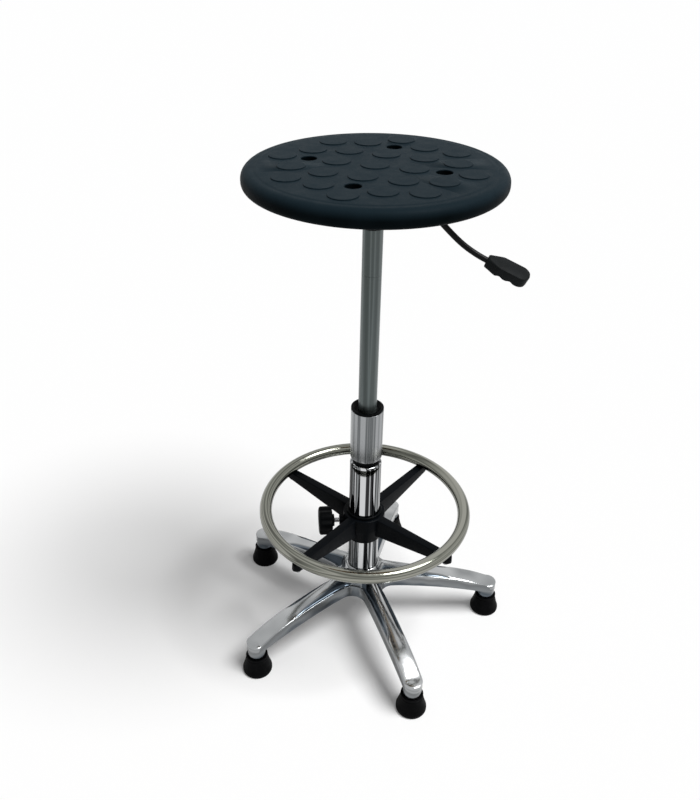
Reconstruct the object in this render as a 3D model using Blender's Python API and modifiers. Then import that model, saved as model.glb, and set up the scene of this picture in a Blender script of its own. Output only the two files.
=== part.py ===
"""A round foam work stool on a gas lift, with a sliding foot ring and a five-arm cast base.

Run with: blender --background --python part.py
Metres, +Z up. The origin is on the floor under the middle of the stool's box, and +X runs along
one arm of the base. The five arms aren't even about that middle, so the column's axis stands a
little towards -X of it. The feet, spokes, screws and lever stand as photographed.
"""

import math

import bmesh
import bpy
from mathutils import Matrix, Vector

# Clearances
GAP = 0.0003  # between pieces that touch or are seated on each other
RUNNING_GAP = 0.0005  # round a shaft that slides or turns

# Seat: one moulding of self-skinned foam on a plywood board
SEAT_TOP = 0.795
SEAT_DIAMETER = 0.3434
SEAT_THICKNESS = 0.0245
SEAT_TOP_ROUNDING = 0.0125
SEAT_BOTTOM_ROUNDING = 0.0085
FIELD_DIAMETER = 0.306
FIELD_STEP = 0.0008
DISC_DIAMETER = 0.038
DISC_HEIGHT = 0.0012
DISC_PITCH = 0.0515
DISC_OUTER_NEAR = 0.040
DISC_OUTER_FAR = 0.099
DISC_CORNER = 0.087
DISC_EDGE = 0.127
BOARD_DIAMETER = 0.290
BOARD_THICKNESS = 0.009

# The four screws that come down through the seat
SEAT_AZIMUTH = 15.5
SCREW_CIRCLE_RADIUS = 0.090
RECESS_DIAMETER = 0.021
RECESS_DEPTH = 0.012
SEAT_SCREW_DIAMETER = 0.006
SEAT_SCREW_HEAD_DIAMETER = 0.014
SEAT_SCREW_HEAD_HEIGHT = 0.0045
SEAT_SCREW_PROUD = 0.004

# Pressed steel pan under the board, and the tapered socket under the pan
FLANGE_SIDE = 0.162
FLANGE_CORNER_RADIUS = 0.016
PAN_SHEET = 0.003
PAN_DEPTH = 0.024
PAN_DIAMETER = 0.104
LEVER_SLOT_WIDTH = 0.012
LUG_WIDTH = 0.012
LUG_THICKNESS = 0.003
LUG_HEIGHT = 0.0145
SOCKET_DIAMETER = 0.040
SOCKET_FLANGE_DIAMETER = 0.056
SOCKET_FLANGE_THICKNESS = 0.004
SOCKET_LENGTH = 0.032

# Release lever
LEVER_AZIMUTH = 198.8
LEVER_DIAMETER = 0.008
LEVER_HEIGHT_IN_PAN = 0.0105  # rod's centre line above the pan's floor
LEVER_PAST_AXIS = 0.006
PIVOT_RADIUS = 0.030
PIVOT_PIN_DIAMETER = 0.004
PIVOT_PIN_LENGTH = 0.026
LEVER_END_EASE = 0.010
LEVER_BEND_START = 0.050
LEVER_BEND_EASE = 0.012
LEVER_KNEE_RADIUS = 0.120
LEVER_KNEE_DROP = 0.0575
LEVER_KNEE_SLOPE = 36.0
LEVER_KNEE_EASE = 0.030
LEVER_NECK_EASE = 0.012
LEVER_GRIP_EASE = 0.006

# Handle of the lever
HANDLE_RADIUS = 0.1530  # from the column's axis to the handle's neck
HANDLE_DROP = 0.0757
HANDLE_SLOPE = 22.0
HANDLE_ROLL = 18.0
HANDLE_LENGTH = 0.0590
HANDLE_WIDTH = 0.0245
HANDLE_NECK_WIDTH = 0.0125
HANDLE_THICKNESS = 0.0155
HANDLE_TAPER_LENGTH = 0.018
HANDLE_EDGE = 0.0018
HANDLE_GRIP = 0.020
HANDLE_END_STEPS = 6
SCALLOP_COUNT = 2
SCALLOP_START = 0.023
SCALLOP_RADIUS = 0.010
SCALLOP_DEPTH = 0.0022
SCALLOP_PITCH = 0.0155

# Gas spring
TUBE_DIAMETER = 0.028
TUBE_WALL = 0.002
TUBE_BOTTOM = 0.335
TUBE_CROWN = 0.010  # thickness of the closed upper end
TAPER_LENGTH = 0.030
TAPER_TOP_DIAMETER = 0.0262
TUBE_PROUD = 0.002  # above the pan's floor
TUBE_LIP = 0.0015
TUBE_LIP_REACH = 0.0014  # inwards from the tube's bore
GLAND_LENGTH = 0.016
RELEASE_PIN_DIAMETER = 0.008
RELEASE_COLLAR_DIAMETER = 0.014
RELEASE_COLLAR_HEIGHT = 0.005
ROD_DIAMETER = 0.010
ROD_END_DIAMETER = 0.008
PISTON_DIAMETER = 0.0232
PISTON_LENGTH = 0.018
PISTON_ABOVE_GLAND = 0.006

# Column, upper sleeve and guide bush
COLUMN_DIAMETER = 0.050
COLUMN_WALL = 0.0025
COLUMN_BOTTOM = 0.0618
COLUMN_END_WALL = 0.004
COLUMN_TOP = 0.330
ROLLED_EDGE = 0.0045
ROLLED_EDGE_ROUNDING = 0.0043
SLEEVE_TOP_CHAMFER = 0.0008
SLEEVE_BOTTOM = 0.3375
SLEEVE_TOP = 0.427
BUSH_BOTTOM = 0.300
BUSH_DISH_DEPTH = 0.005
BUSH_RIM_WIDTH = 0.0016
BUSH_RIM_EASE = 0.00064
BUSH_RIM_DROP = 0.001
BUSH_DISH_FLOOR = 0.002  # width of the flat round the tube
BUSH_BELOW_SLEEVE = 0.0006

# Thrust bearing, bumper and lower end
RACE_DIAMETER = 0.024
RACE_THICKNESS = 0.002
BEARING_THICKNESS = 0.003
BUMPER_DIAMETER = 0.030
BUMPER_LENGTH = 0.014
CLIP_DIAMETER = 0.014
CLIP_THICKNESS = 0.0015
ROD_PAST_CLIP = 0.0015
CAP_DIAMETER = 0.056
CAP_BOTTOM = 0.054
CAP_WALL = 0.003
CAP_ROUNDING = 0.003
CAP_HOLE_DIAMETER = 0.016

# Cast base
ARM_COUNT = 5
FOOT_RADIUS = 0.2197
ARM_WIDTH = 0.0304
HUB_TOP = 0.1175
HUB_RIM = 0.0034
HUB_WALL = 0.0055
WEB_RADIUS = 0.0233
CROWN_AT_HUB = 0.1130
CROWN_SLOPE = 0.22
CROWN_TIP_DROP = 0.0062
BAND_AT_HUB = 0.0768
BAND_SLOPE = 0.115
BAND_TIP_DROP = 0.0045
BAND_HEIGHT = 0.0135
BAND_EDGE = 0.0009
TIP_BEND_LENGTH = 0.060
CREST_AT_HUB = 0.0042
CREST_POWER = 1.7
CREST_NARROWEST_SHARE = 0.08
CREST_WIDEST_SHARE = 0.62
SCOOP_START = 0.040
SCOOP_END = 0.156
SCOOP_FADE = 0.034
SCOOP_POWER = 2.4
CASTING_WALL = 0.0035
CREST_WALL = 0.0049
CREST_CROWN_SHARE = 0.10
SCOOP_SHARES = (0.16, 0.38, 0.66)
SOLID_TIP = 0.022
HOLLOW_FADE = 0.016
ROOF_SIDE_SHARE = 0.94
ARM_RIBS = 8
TIP_RIBS = 3
WEB_RIBS = 3
FAN_LENGTH = 0.056
BOSS_DIAMETER = 0.0292
BOSS_BOTTOM = 0.0305
BOSS_INTO_ARM = 0.004
CASTING_SMOOTH_ANGLE = 38.0

# Glides
GLIDE_HEIGHT = 0.0345
GLIDE_RIM_DIAMETER = 0.0355
GLIDE_FLARE_DIAMETER = 0.048
GLIDE_FLARE_HEIGHT = 0.005
GLIDE_EDGE = 0.0022
GLIDE_RIM_HEIGHT = 0.006
GLIDE_BELLY = 0.001
STEM_DIAMETER = 0.008
STEM_LENGTH = 0.038
STEM_BOTTOM = 0.010

# Foot ring and its spider
RING_RADIUS = 0.1613
RING_HEIGHT = 0.2352
RING_TUBE_DIAMETER = 0.020
SPOKE_AZIMUTH = -5.8
SPOKE_COUNT = 4
SPOKE_WIDTH = 0.0170
SPOKE_END_WIDTH = 0.0145
SPOKES_BELOW_RING = 0.0067  # from the ring's centre line down to the spokes' top
SPOKE_DEPTH = 0.035
SPOKE_END_DEPTH = 0.0125
SPOKE_PAST_RING = 0.0098
SPOKE_END_ROUNDING = 0.0061
SPOKE_EDGE = 0.0015
LINER_WALL = 0.0019
LINER_FLANGE_DIAMETER = 0.0575
LINER_FLANGE_THICKNESS = 0.004
SPIDER_TOP_DIAMETER = 0.068
SPIDER_BOTTOM_DIAMETER = 0.058
SPIDER_HEIGHT = 0.0495
SPIDER_SHOULDER_DEPTH = 0.0223
SPIDER_SHOULDER_ROUNDING = 0.006
RING_SCREW_DIAMETER = 0.005
RING_SCREW_HEAD_DIAMETER = 0.010
RING_SCREW_HEAD_HEIGHT = 0.003
RING_SCREW_INTO_TUBE = 0.006

# Clamp of the foot ring
CLAMP_AZIMUTH = SPOKE_AZIMUTH + 45.0
CLAMP_BELOW_SPOKES = 0.020  # from the spokes' top down to the stud's centre line
CLAMP_BOSS_DIAMETER = 0.018
CLAMP_BOSS_REACH = 0.041
STUD_DIAMETER = 0.008
SHOE_LENGTH = 0.003
KNOB_INNER_FACE = 0.053
KNOB_DIAMETER = 0.047
KNOB_THICKNESS = 0.022
KNOB_LOBES = 7
KNOB_LOBE_DEPTH = 0.0022
KNOB_EDGE = 0.003
KNOB_STEPS_PER_LOBE = 5
KNOB_NECK_DIAMETER = 0.020
KNOB_NECK_LENGTH = 0.0035
STUD_IN_KNOB = 0.014

# Roundings of small edges
FINE_ROUNDING = 0.0005
SMALL_ROUNDING = 0.001
EASY_ROUNDING = 0.0015
SOFT_ROUNDING = 0.002

# Points nearer than this are one point
WELD_DISTANCE = 0.000005

# Facets round a full turn
FACETS_SEAT = 42
FACETS_RING = 52
FACETS_LARGE = 30
FACETS_MEDIUM = 24
FACETS_SMALL = 14
FACETS_HIDDEN = 12
FACETS_PIN = 10
FACETS_CLAMP = 16
FACETS_RECESS = 14
FACETS_DISC = 12
FACETS_BOSS = 18
FACETS_GLIDE = 16
FACETS_RING_TUBE = 12

# Heights that follow from the sizes above
SPOKE_TOP = RING_HEIGHT - SPOKES_BELOW_RING
CLAMP_HEIGHT = SPOKE_TOP - CLAMP_BELOW_SPOKES
SEAT_BOTTOM = SEAT_TOP - SEAT_THICKNESS
BOARD_TOP = SEAT_BOTTOM + BOARD_THICKNESS
FLANGE_TOP = SEAT_BOTTOM - GAP
PAN_FLOOR = FLANGE_TOP - PAN_DEPTH + PAN_SHEET
TUBE_TOP = PAN_FLOOR + TUBE_PROUD
LEVER_LINE = PAN_FLOOR + LEVER_HEIGHT_IN_PAN
RELEASE_PIN_TOP = LEVER_LINE - LEVER_DIAMETER / 2 - GAP
COLUMN_FLOOR = COLUMN_BOTTOM + COLUMN_END_WALL
LOWER_RACE_BOTTOM = COLUMN_FLOOR + GAP
BEARING_BOTTOM = LOWER_RACE_BOTTOM + RACE_THICKNESS + GAP
UPPER_RACE_BOTTOM = BEARING_BOTTOM + BEARING_THICKNESS + GAP
ROD_SHOULDER = UPPER_RACE_BOTTOM + RACE_THICKNESS + GAP
BUMPER_BOTTOM = ROD_SHOULDER
CLIP_TOP = COLUMN_BOTTOM - GAP
GLAND_BOTTOM = TUBE_BOTTOM + TUBE_LIP + GAP
PISTON_BOTTOM = GLAND_BOTTOM + GLAND_LENGTH + PISTON_ABOVE_GLAND
HUB_BORE = COLUMN_DIAMETER / 2 + GAP
SPIDER_BORE = COLUMN_DIAMETER / 2 + GAP + LINER_WALL + GAP
LINER_TOP = SPOKE_TOP + GAP + LINER_FLANGE_THICKNESS
SPIDER_BOTTOM = SPOKE_TOP - SPIDER_HEIGHT
SPOKE_START = SPIDER_BORE + LINER_WALL


def clear_scene():
    for obj in list(bpy.data.objects):
        bpy.data.objects.remove(obj, do_unlink=True)


def new_collection(name, hidden=False):
    collection = bpy.data.collections.new(name)
    bpy.context.scene.collection.children.link(collection)
    collection.hide_render = hidden
    return collection


def make_material(name, colour, metallic, roughness):
    material = bpy.data.materials.new(name)
    material.use_nodes = True
    shader = material.node_tree.nodes["Principled BSDF"]
    shader.inputs["Base Color"].default_value = (*colour, 1.0)
    shader.inputs["Metallic"].default_value = metallic
    shader.inputs["Roughness"].default_value = roughness
    return material


def add_object(name, mesh, material=None, cutter=False):
    obj = bpy.data.objects.new(name, mesh)
    (CUTTERS if cutter else PARTS).objects.link(obj)
    if cutter:
        obj.hide_render = True
        obj.display_type = "WIRE"
    elif material and not mesh.materials:
        mesh.materials.append(material)
    return obj


def mesh_from_bmesh(name, bm, smooth_angle=30.0):
    mesh = bpy.data.meshes.new(name)
    bmesh.ops.recalc_face_normals(bm, faces=bm.faces)
    bm.to_mesh(mesh)
    bm.free()
    mesh.shade_smooth()
    mesh.set_sharp_from_angle(angle=math.radians(smooth_angle))
    return mesh


def rounded_outline(points, steps=3):
    """The outline with an arc at each point (r, z, radius); a point (r, z) stays sharp."""
    outline = []
    for i, point in enumerate(points):
        here = Vector(point[:2])
        radius = point[2] if len(point) > 2 else 0.0
        if not radius:
            outline.append(here)
            continue
        before = (Vector(points[i - 1][:2]) - here).normalized()
        after = (Vector(points[(i + 1) % len(points)][:2]) - here).normalized()
        half_angle = before.angle(after) / 2
        reach = radius / math.tan(half_angle)
        centre = here + (before + after).normalized() * radius / math.sin(half_angle)
        start = here + before * reach - centre
        turn = (here + after * reach - centre).angle_signed(start)
        for step in range(steps + 1):
            outline.append(centre + Matrix.Rotation(turn * step / steps, 2) @ start)
    return outline


def turned(name, points, facets, material=None, cutter=False, steps=3):
    """A profile of (radius, height) turned round Z. It runs down outside and, on a ring, up inside."""
    outline = rounded_outline(points, steps)
    is_ring = min(point.x for point in outline) > 1e-6
    edges = [(i, i + 1) for i in range(len(outline) - 1)]
    if is_ring:
        edges.append((len(outline) - 1, 0))
    mesh = bpy.data.meshes.new(name)
    mesh.from_pydata([(point.x, 0.0, point.y) for point in outline], edges, [])
    obj = add_object(name, mesh, material, cutter)
    screw = obj.modifiers.new("turn", "SCREW")
    screw.angle = math.tau
    screw.steps = facets
    screw.render_steps = facets
    screw.use_merge_vertices = True
    screw.merge_threshold = WELD_DISTANCE
    screw.use_smooth_shade = True
    return obj


def cylinder(name, radius, bottom, top, facets, material=None, cutter=False):
    return turned(name, [(0, top), (radius, top), (radius, bottom), (0, bottom)], facets, material, cutter)


def cut(obj, cutter, operation="DIFFERENCE"):
    boolean = obj.modifiers.new(cutter.name, "BOOLEAN")
    boolean.object = cutter
    boolean.operation = operation
    boolean.solver = "EXACT"


def place(obj, azimuth=0.0, radius=0.0, height=0.0):
    """Moves an object out along an azimuth in degrees and turns its own X axis to point that way."""
    angle = math.radians(azimuth)
    obj.location = (radius * math.cos(angle), radius * math.sin(angle), height)
    obj.rotation_euler = (0, 0, angle)


def lay_along_azimuth(obj, azimuth, radius, height):
    """As place, with the object's own Z axis pointing outwards."""
    place(obj, azimuth, radius, height)
    obj.rotation_euler = (0, math.radians(90), math.radians(azimuth))


def mesh_of_curve(obj):
    """The curve as a mesh object with its caps welded, so that it can be cut."""
    graph = bpy.context.evaluated_depsgraph_get()
    mesh = bpy.data.meshes.new_from_object(obj.evaluated_get(graph))
    bm = bmesh.new()
    bm.from_mesh(mesh)
    bmesh.ops.remove_doubles(bm, verts=bm.verts, dist=WELD_DISTANCE)
    name, material, matrix = obj.name, obj.data.materials[0], obj.matrix_world.copy()
    bpy.data.objects.remove(obj, do_unlink=True)
    solid = add_object(name, mesh_from_bmesh(name, bm), material)
    solid.matrix_world = matrix
    return solid


def cylinder_set(name, radius, bottom, top, facets, azimuths, from_axis):
    """One cutter that holds an upright cylinder at each azimuth."""
    bm = bmesh.new()
    for azimuth in azimuths:
        angle = math.radians(azimuth)
        middle = (from_axis * math.cos(angle), from_axis * math.sin(angle), (bottom + top) / 2)
        bmesh.ops.create_cone(
            bm,
            cap_ends=True,
            segments=facets,
            radius1=radius,
            radius2=radius,
            depth=top - bottom,
            matrix=Matrix.Translation(middle) @ Matrix.Rotation(angle, 4, "Z"),
        )
    return add_object(name, mesh_from_bmesh(name, bm), cutter=True)


def screw_azimuths():
    return [SEAT_AZIMUTH + 90.0 * i for i in range(4)]


def disc_centres():
    """The raised discs: one in the middle, and the rest in fours about it, clear of the screws."""
    centres = [(0.0, 0.0)]
    first_quarter = (
        (DISC_PITCH, 0.0),
        (DISC_PITCH, DISC_PITCH),
        (DISC_OUTER_FAR, DISC_OUTER_NEAR),
        (DISC_OUTER_NEAR, DISC_OUTER_FAR),
        (DISC_CORNER, DISC_CORNER),
        (DISC_EDGE, 0.0),
    )
    for x, y in first_quarter:
        for _ in range(4):
            centres.append((x, y))
            x, y = -y, x
    return centres


def make_seat():
    foam = make_material("black_foam_skin", (0.018, 0.022, 0.026), 0.0, 0.5)
    radius = SEAT_DIAMETER / 2
    shoulder = SEAT_TOP - FIELD_STEP
    pocket = BOARD_DIAMETER / 2 + GAP
    seat = turned(
        "seat",
        [
            (0, SEAT_TOP),
            (FIELD_DIAMETER / 2, SEAT_TOP),
            (FIELD_DIAMETER / 2 + FIELD_STEP, shoulder),
            (radius, shoulder, SEAT_TOP_ROUNDING),
            (radius, SEAT_BOTTOM, SEAT_BOTTOM_ROUNDING),
            (pocket, SEAT_BOTTOM),
            (pocket, BOARD_TOP + GAP),
            (0, BOARD_TOP + GAP),
        ],
        FACETS_SEAT,
        foam,
    )
    place(seat, SEAT_AZIMUTH)
    bm = bmesh.new()
    sunk = SEAT_TOP - DISC_HEIGHT
    for x, y in disc_centres():
        middle = Matrix.Translation((x, y, (sunk + SEAT_TOP + DISC_HEIGHT) / 2))
        bmesh.ops.create_cone(
            bm,
            cap_ends=True,
            segments=FACETS_DISC,
            radius1=DISC_DIAMETER / 2,
            radius2=DISC_DIAMETER / 2 - DISC_HEIGHT / 4,
            depth=SEAT_TOP + DISC_HEIGHT - sunk,
            matrix=middle,
        )
    discs = add_object("seat_discs", mesh_from_bmesh("seat_discs", bm), cutter=True)
    place(discs, SEAT_AZIMUTH)
    cut(seat, discs, "UNION")
    recess_floor = SEAT_TOP - RECESS_DEPTH
    above = SEAT_TOP + 2 * DISC_HEIGHT
    hole = SEAT_SCREW_DIAMETER / 2 + GAP
    sites = (screw_azimuths(), SCREW_CIRCLE_RADIUS)
    cut(seat, cylinder_set("seat_recesses", RECESS_DIAMETER / 2, recess_floor, above, FACETS_RECESS, *sites))
    cut(seat, cylinder_set("seat_holes", hole, SEAT_BOTTOM, above, FACETS_HIDDEN, *sites))


def make_screw_bores():
    """The holes for the seat's screws through the board and the pan's flange."""
    radius = SEAT_SCREW_DIAMETER / 2 + GAP
    bottom = SEAT_BOTTOM - 2 * PAN_SHEET
    top = BOARD_TOP + PAN_SHEET
    sites = (screw_azimuths(), SCREW_CIRCLE_RADIUS)
    return cylinder_set("screw_bores", radius, bottom, top, FACETS_HIDDEN, *sites)


def make_board(screw_bores):
    plywood = make_material("birch_plywood", (0.55, 0.40, 0.24), 0.0, 0.6)
    board = cylinder("seat_board", BOARD_DIAMETER / 2, SEAT_BOTTOM, BOARD_TOP, FACETS_SEAT, plywood)
    place(board, SEAT_AZIMUTH)
    cut(board, screw_bores)


def make_seat_screws():
    steel = make_material("zinc_screws", (0.30, 0.30, 0.30), 1.0, 0.35)
    shank = SEAT_SCREW_DIAMETER / 2
    head = SEAT_SCREW_HEAD_DIAMETER / 2
    seating = SEAT_TOP - RECESS_DEPTH + GAP
    end = FLANGE_TOP - PAN_SHEET - SEAT_SCREW_PROUD
    for i, azimuth in enumerate(screw_azimuths()):
        screw = turned(
            f"seat_screw_{i + 1}",
            [
                (0, seating + SEAT_SCREW_HEAD_HEIGHT),
                (head, seating + SEAT_SCREW_HEAD_HEIGHT, EASY_ROUNDING),
                (head, seating),
                (shank, seating),
                (shank, end),
                (0, end),
            ],
            FACETS_HIDDEN,
            steel,
            steps=1,
        )
        place(screw, azimuth, SCREW_CIRCLE_RADIUS)


def lug_mesh(name, thickness, width, height):
    """A flat lug that stands on Z=0 with its sides across Y."""
    bm = bmesh.new()
    bmesh.ops.create_cube(bm, size=1.0)
    bmesh.ops.scale(bm, vec=(width, thickness, height), verts=bm.verts)
    bmesh.ops.translate(bm, vec=(0, 0, height / 2), verts=bm.verts)
    return mesh_from_bmesh(name, bm)


def make_pan(screw_bores):
    steel = make_material("black_pressed_steel", (0.02, 0.02, 0.022), 0.6, 0.45)
    bm = bmesh.new()
    bmesh.ops.create_cube(bm, size=1.0)
    bmesh.ops.scale(bm, vec=(FLANGE_SIDE, FLANGE_SIDE, PAN_SHEET), verts=bm.verts)
    bmesh.ops.translate(bm, vec=(0, 0, FLANGE_TOP - PAN_SHEET / 2), verts=bm.verts)
    upright = [edge for edge in bm.edges if abs(edge.verts[0].co.z - edge.verts[1].co.z) > PAN_SHEET / 2]
    bmesh.ops.bevel(bm, geom=upright, offset=FLANGE_CORNER_RADIUS, segments=4, affect="EDGES", profile=0.5)
    pan = add_object("seat_pan", mesh_from_bmesh("seat_pan", bm), steel)
    place(pan, SEAT_AZIMUTH + 45.0)
    outer = PAN_DIAMETER / 2
    inner = outer - PAN_SHEET
    bore = TUBE_DIAMETER / 2 + RUNNING_GAP
    well_floor = PAN_FLOOR - PAN_SHEET
    cup = turned(
        "pan_cup",
        [
            (outer, FLANGE_TOP - PAN_SHEET / 2),
            (outer, well_floor, PAN_SHEET),
            (bore, well_floor),
            (bore, PAN_FLOOR),
            (inner, PAN_FLOOR),
            (inner, FLANGE_TOP - PAN_SHEET / 2),
        ],
        FACETS_MEDIUM,
        cutter=True,
        steps=1,
    )
    cut(pan, cup, "UNION")
    mouth = cylinder("pan_mouth", inner, PAN_FLOOR, FLANGE_TOP + PAN_SHEET, FACETS_MEDIUM, cutter=True)
    cut(pan, mouth)
    lug_mesh_shared = lug_mesh("pan_lug", LUG_THICKNESS, LUG_WIDTH, LUG_HEIGHT + PAN_SHEET / 2)
    angle = math.radians(LEVER_AZIMUTH)
    outward = Vector((math.cos(angle), math.sin(angle), 0))
    sideways = Vector((-math.sin(angle), math.cos(angle), 0))
    lug_offset = LEVER_DIAMETER / 2 + RUNNING_GAP + LUG_THICKNESS / 2
    for side in (-1, 1):
        lug = add_object(f"pan_lug_{'right' if side < 0 else 'left'}", lug_mesh_shared, cutter=True)
        lug.location = outward * PIVOT_RADIUS + sideways * side * lug_offset
        lug.location.z = PAN_FLOOR - PAN_SHEET / 2
        lug.rotation_euler = (0, 0, angle)
        cut(pan, lug, "UNION")
    slot_height = FLANGE_TOP - PAN_SHEET - PAN_FLOOR - PAN_SHEET / 2
    slot_mesh = lug_mesh("lever_slot", LEVER_SLOT_WIDTH, 4 * PAN_SHEET, slot_height)
    slot = add_object("lever_slot", slot_mesh, cutter=True)
    place(slot, LEVER_AZIMUTH, inner + PAN_SHEET / 2, PAN_FLOOR + PAN_SHEET / 2)
    cut(pan, slot)
    cut(pan, make_pivot_bore())
    cut(pan, screw_bores)


def make_pivot_bore():
    bore = cylinder(
        "pivot_bore",
        PIVOT_PIN_DIAMETER / 2 + GAP,
        -PIVOT_PIN_LENGTH,
        PIVOT_PIN_LENGTH,
        FACETS_SMALL,
        cutter=True,
    )
    lay_across_lever(bore)
    return bore


def lay_across_lever(obj):
    """Puts an object on the lever's pivot, with its Z axis across the lever."""
    place(obj, LEVER_AZIMUTH, PIVOT_RADIUS, LEVER_LINE)
    obj.rotation_euler = (math.radians(90), 0, math.radians(LEVER_AZIMUTH))


def tube_radius(height):
    """The outer radius of the gas spring's tube, which is tapered at the top to wedge in its socket."""
    taper_start = TUBE_TOP - TAPER_LENGTH
    share = min(max((height - taper_start) / TAPER_LENGTH, 0.0), 1.0)
    return (TUBE_DIAMETER + (TAPER_TOP_DIAMETER - TUBE_DIAMETER) * share) / 2


def make_socket():
    steel = make_material("socket_steel", (0.05, 0.05, 0.055), 0.8, 0.4)
    top = PAN_FLOOR - PAN_SHEET - GAP
    bottom = top - SOCKET_LENGTH
    taper_start = TUBE_TOP - TAPER_LENGTH
    flange = SOCKET_FLANGE_DIAMETER / 2
    body = SOCKET_DIAMETER / 2
    turned(
        "taper_socket",
        [
            (flange, top),
            (flange, top - SOCKET_FLANGE_THICKNESS),
            (body, top - SOCKET_FLANGE_THICKNESS, SOFT_ROUNDING),
            (body, bottom, SOFT_ROUNDING),
            (tube_radius(bottom) + GAP, bottom),
            (tube_radius(taper_start) + GAP, taper_start),
            (tube_radius(top) + GAP, top),
        ],
        FACETS_MEDIUM,
        steel,
        steps=1,
    )


def downwards(degrees):
    """The direction (out, up) that falls away from the column at this slope."""
    slope = math.radians(degrees)
    return Vector((math.cos(slope), -math.sin(slope)))


def lever_points():
    """The rod's points from its pivot as (out, up), with their directions and handle lengths."""
    level = downwards(0.0)
    along_handle = downwards(HANDLE_SLOPE)
    neck = Vector((HANDLE_RADIUS - PIVOT_RADIUS, -HANDLE_DROP))
    return (
        (Vector((-PIVOT_RADIUS - LEVER_PAST_AXIS, 0.0)), level, LEVER_END_EASE, LEVER_END_EASE),
        (Vector((LEVER_BEND_START - PIVOT_RADIUS, 0.0)), level, LEVER_END_EASE, LEVER_BEND_EASE),
        (
            Vector((LEVER_KNEE_RADIUS - PIVOT_RADIUS, -LEVER_KNEE_DROP)),
            downwards(LEVER_KNEE_SLOPE),
            LEVER_KNEE_EASE,
            LEVER_NECK_EASE,
        ),
        (neck, along_handle, LEVER_NECK_EASE, LEVER_GRIP_EASE),
        (neck + along_handle * HANDLE_GRIP, along_handle, LEVER_GRIP_EASE, LEVER_GRIP_EASE),
    )


def make_lever():
    paint = make_material("black_lever_rod", (0.012, 0.012, 0.013), 0.4, 0.4)
    curve = bpy.data.curves.new("lever_rod", "CURVE")
    curve.dimensions = "3D"
    curve.bevel_depth = LEVER_DIAMETER / 2
    curve.bevel_resolution = 3
    curve.resolution_u = 6
    curve.use_fill_caps = True
    curve.materials.append(paint)
    spline = curve.splines.new("BEZIER")
    points = lever_points()
    spline.bezier_points.add(len(points) - 1)
    for bezier, (point, direction, back, ahead) in zip(spline.bezier_points, points):
        before = point - direction * back
        after = point + direction * ahead
        bezier.co = (point.x, 0, point.y)
        bezier.handle_left = (before.x, 0, before.y)
        bezier.handle_right = (after.x, 0, after.y)
    guide = add_object("lever_rod", curve)
    place(guide, LEVER_AZIMUTH, PIVOT_RADIUS, LEVER_LINE)
    bpy.context.view_layer.update()
    rod = mesh_of_curve(guide)
    cut(rod, bpy.data.objects["pivot_bore"])
    return rod


def handle_outline():
    """Half-widths along the handle: a narrow neck that widens, then a round end."""
    neck = HANDLE_NECK_WIDTH / 2
    half = HANDLE_WIDTH / 2
    side = [Vector((0.0, neck)), Vector((HANDLE_TAPER_LENGTH, half))]
    round_start = HANDLE_LENGTH - half
    for step in range(HANDLE_END_STEPS + 1):
        angle = math.pi / 2 - math.pi * step / HANDLE_END_STEPS
        side.append(Vector((round_start + half * math.cos(angle), half * math.sin(angle))))
    other_side = [Vector((HANDLE_TAPER_LENGTH, -half)), Vector((0.0, -neck))]
    return side + other_side


def make_handle(rod):
    plastic = make_material("black_lever_handle", (0.014, 0.015, 0.017), 0.0, 0.42)
    bm = bmesh.new()
    base = [bm.verts.new((point.x, point.y, -HANDLE_THICKNESS / 2)) for point in handle_outline()]
    face = bm.faces.new(base)
    raised = bmesh.ops.extrude_face_region(bm, geom=[face])
    moved = [item for item in raised["geom"] if isinstance(item, bmesh.types.BMVert)]
    bmesh.ops.translate(bm, vec=(0, 0, HANDLE_THICKNESS), verts=moved)
    bmesh.ops.bevel(bm, geom=bm.edges[:], offset=HANDLE_EDGE, segments=2, affect="EDGES", profile=0.5)
    handle = add_object("lever_handle", mesh_from_bmesh("lever_handle", bm), plastic)
    neck = lever_points()[-2][0]
    lean = Matrix.Rotation(math.radians(HANDLE_SLOPE), 4, "Y")
    roll = Matrix.Rotation(math.radians(HANDLE_ROLL), 4, "X")
    handle.matrix_world = rod.matrix_world @ Matrix.Translation((neck.x, 0, neck.y)) @ lean @ roll
    socket = cylinder(
        "handle_socket",
        LEVER_DIAMETER / 2 + GAP,
        -HANDLE_GRIP,
        HANDLE_GRIP + GAP,
        FACETS_SMALL,
        cutter=True,
    )
    socket.matrix_world = handle.matrix_world @ Matrix.Rotation(math.radians(90), 4, "Y")
    cut(handle, socket)
    for i in range(SCALLOP_COUNT):
        scallop = cylinder(
            f"handle_scallop_{i + 1}",
            SCALLOP_RADIUS,
            -HANDLE_WIDTH,
            HANDLE_WIDTH,
            FACETS_MEDIUM,
            cutter=True,
        )
        along = SCALLOP_START + SCALLOP_PITCH * i
        below = -HANDLE_THICKNESS / 2 - SCALLOP_RADIUS + SCALLOP_DEPTH
        crosswise = Matrix.Translation((along, 0, below)) @ Matrix.Rotation(math.radians(90), 4, "X")
        scallop.matrix_world = handle.matrix_world @ crosswise
        cut(handle, scallop)


def make_pivot_pin():
    steel = make_material("pivot_steel", (0.45, 0.45, 0.46), 1.0, 0.3)
    pin = cylinder(
        "lever_pivot_pin",
        PIVOT_PIN_DIAMETER / 2,
        -PIVOT_PIN_LENGTH / 2,
        PIVOT_PIN_LENGTH / 2,
        FACETS_PIN,
        steel,
    )
    lay_across_lever(pin)


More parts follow.
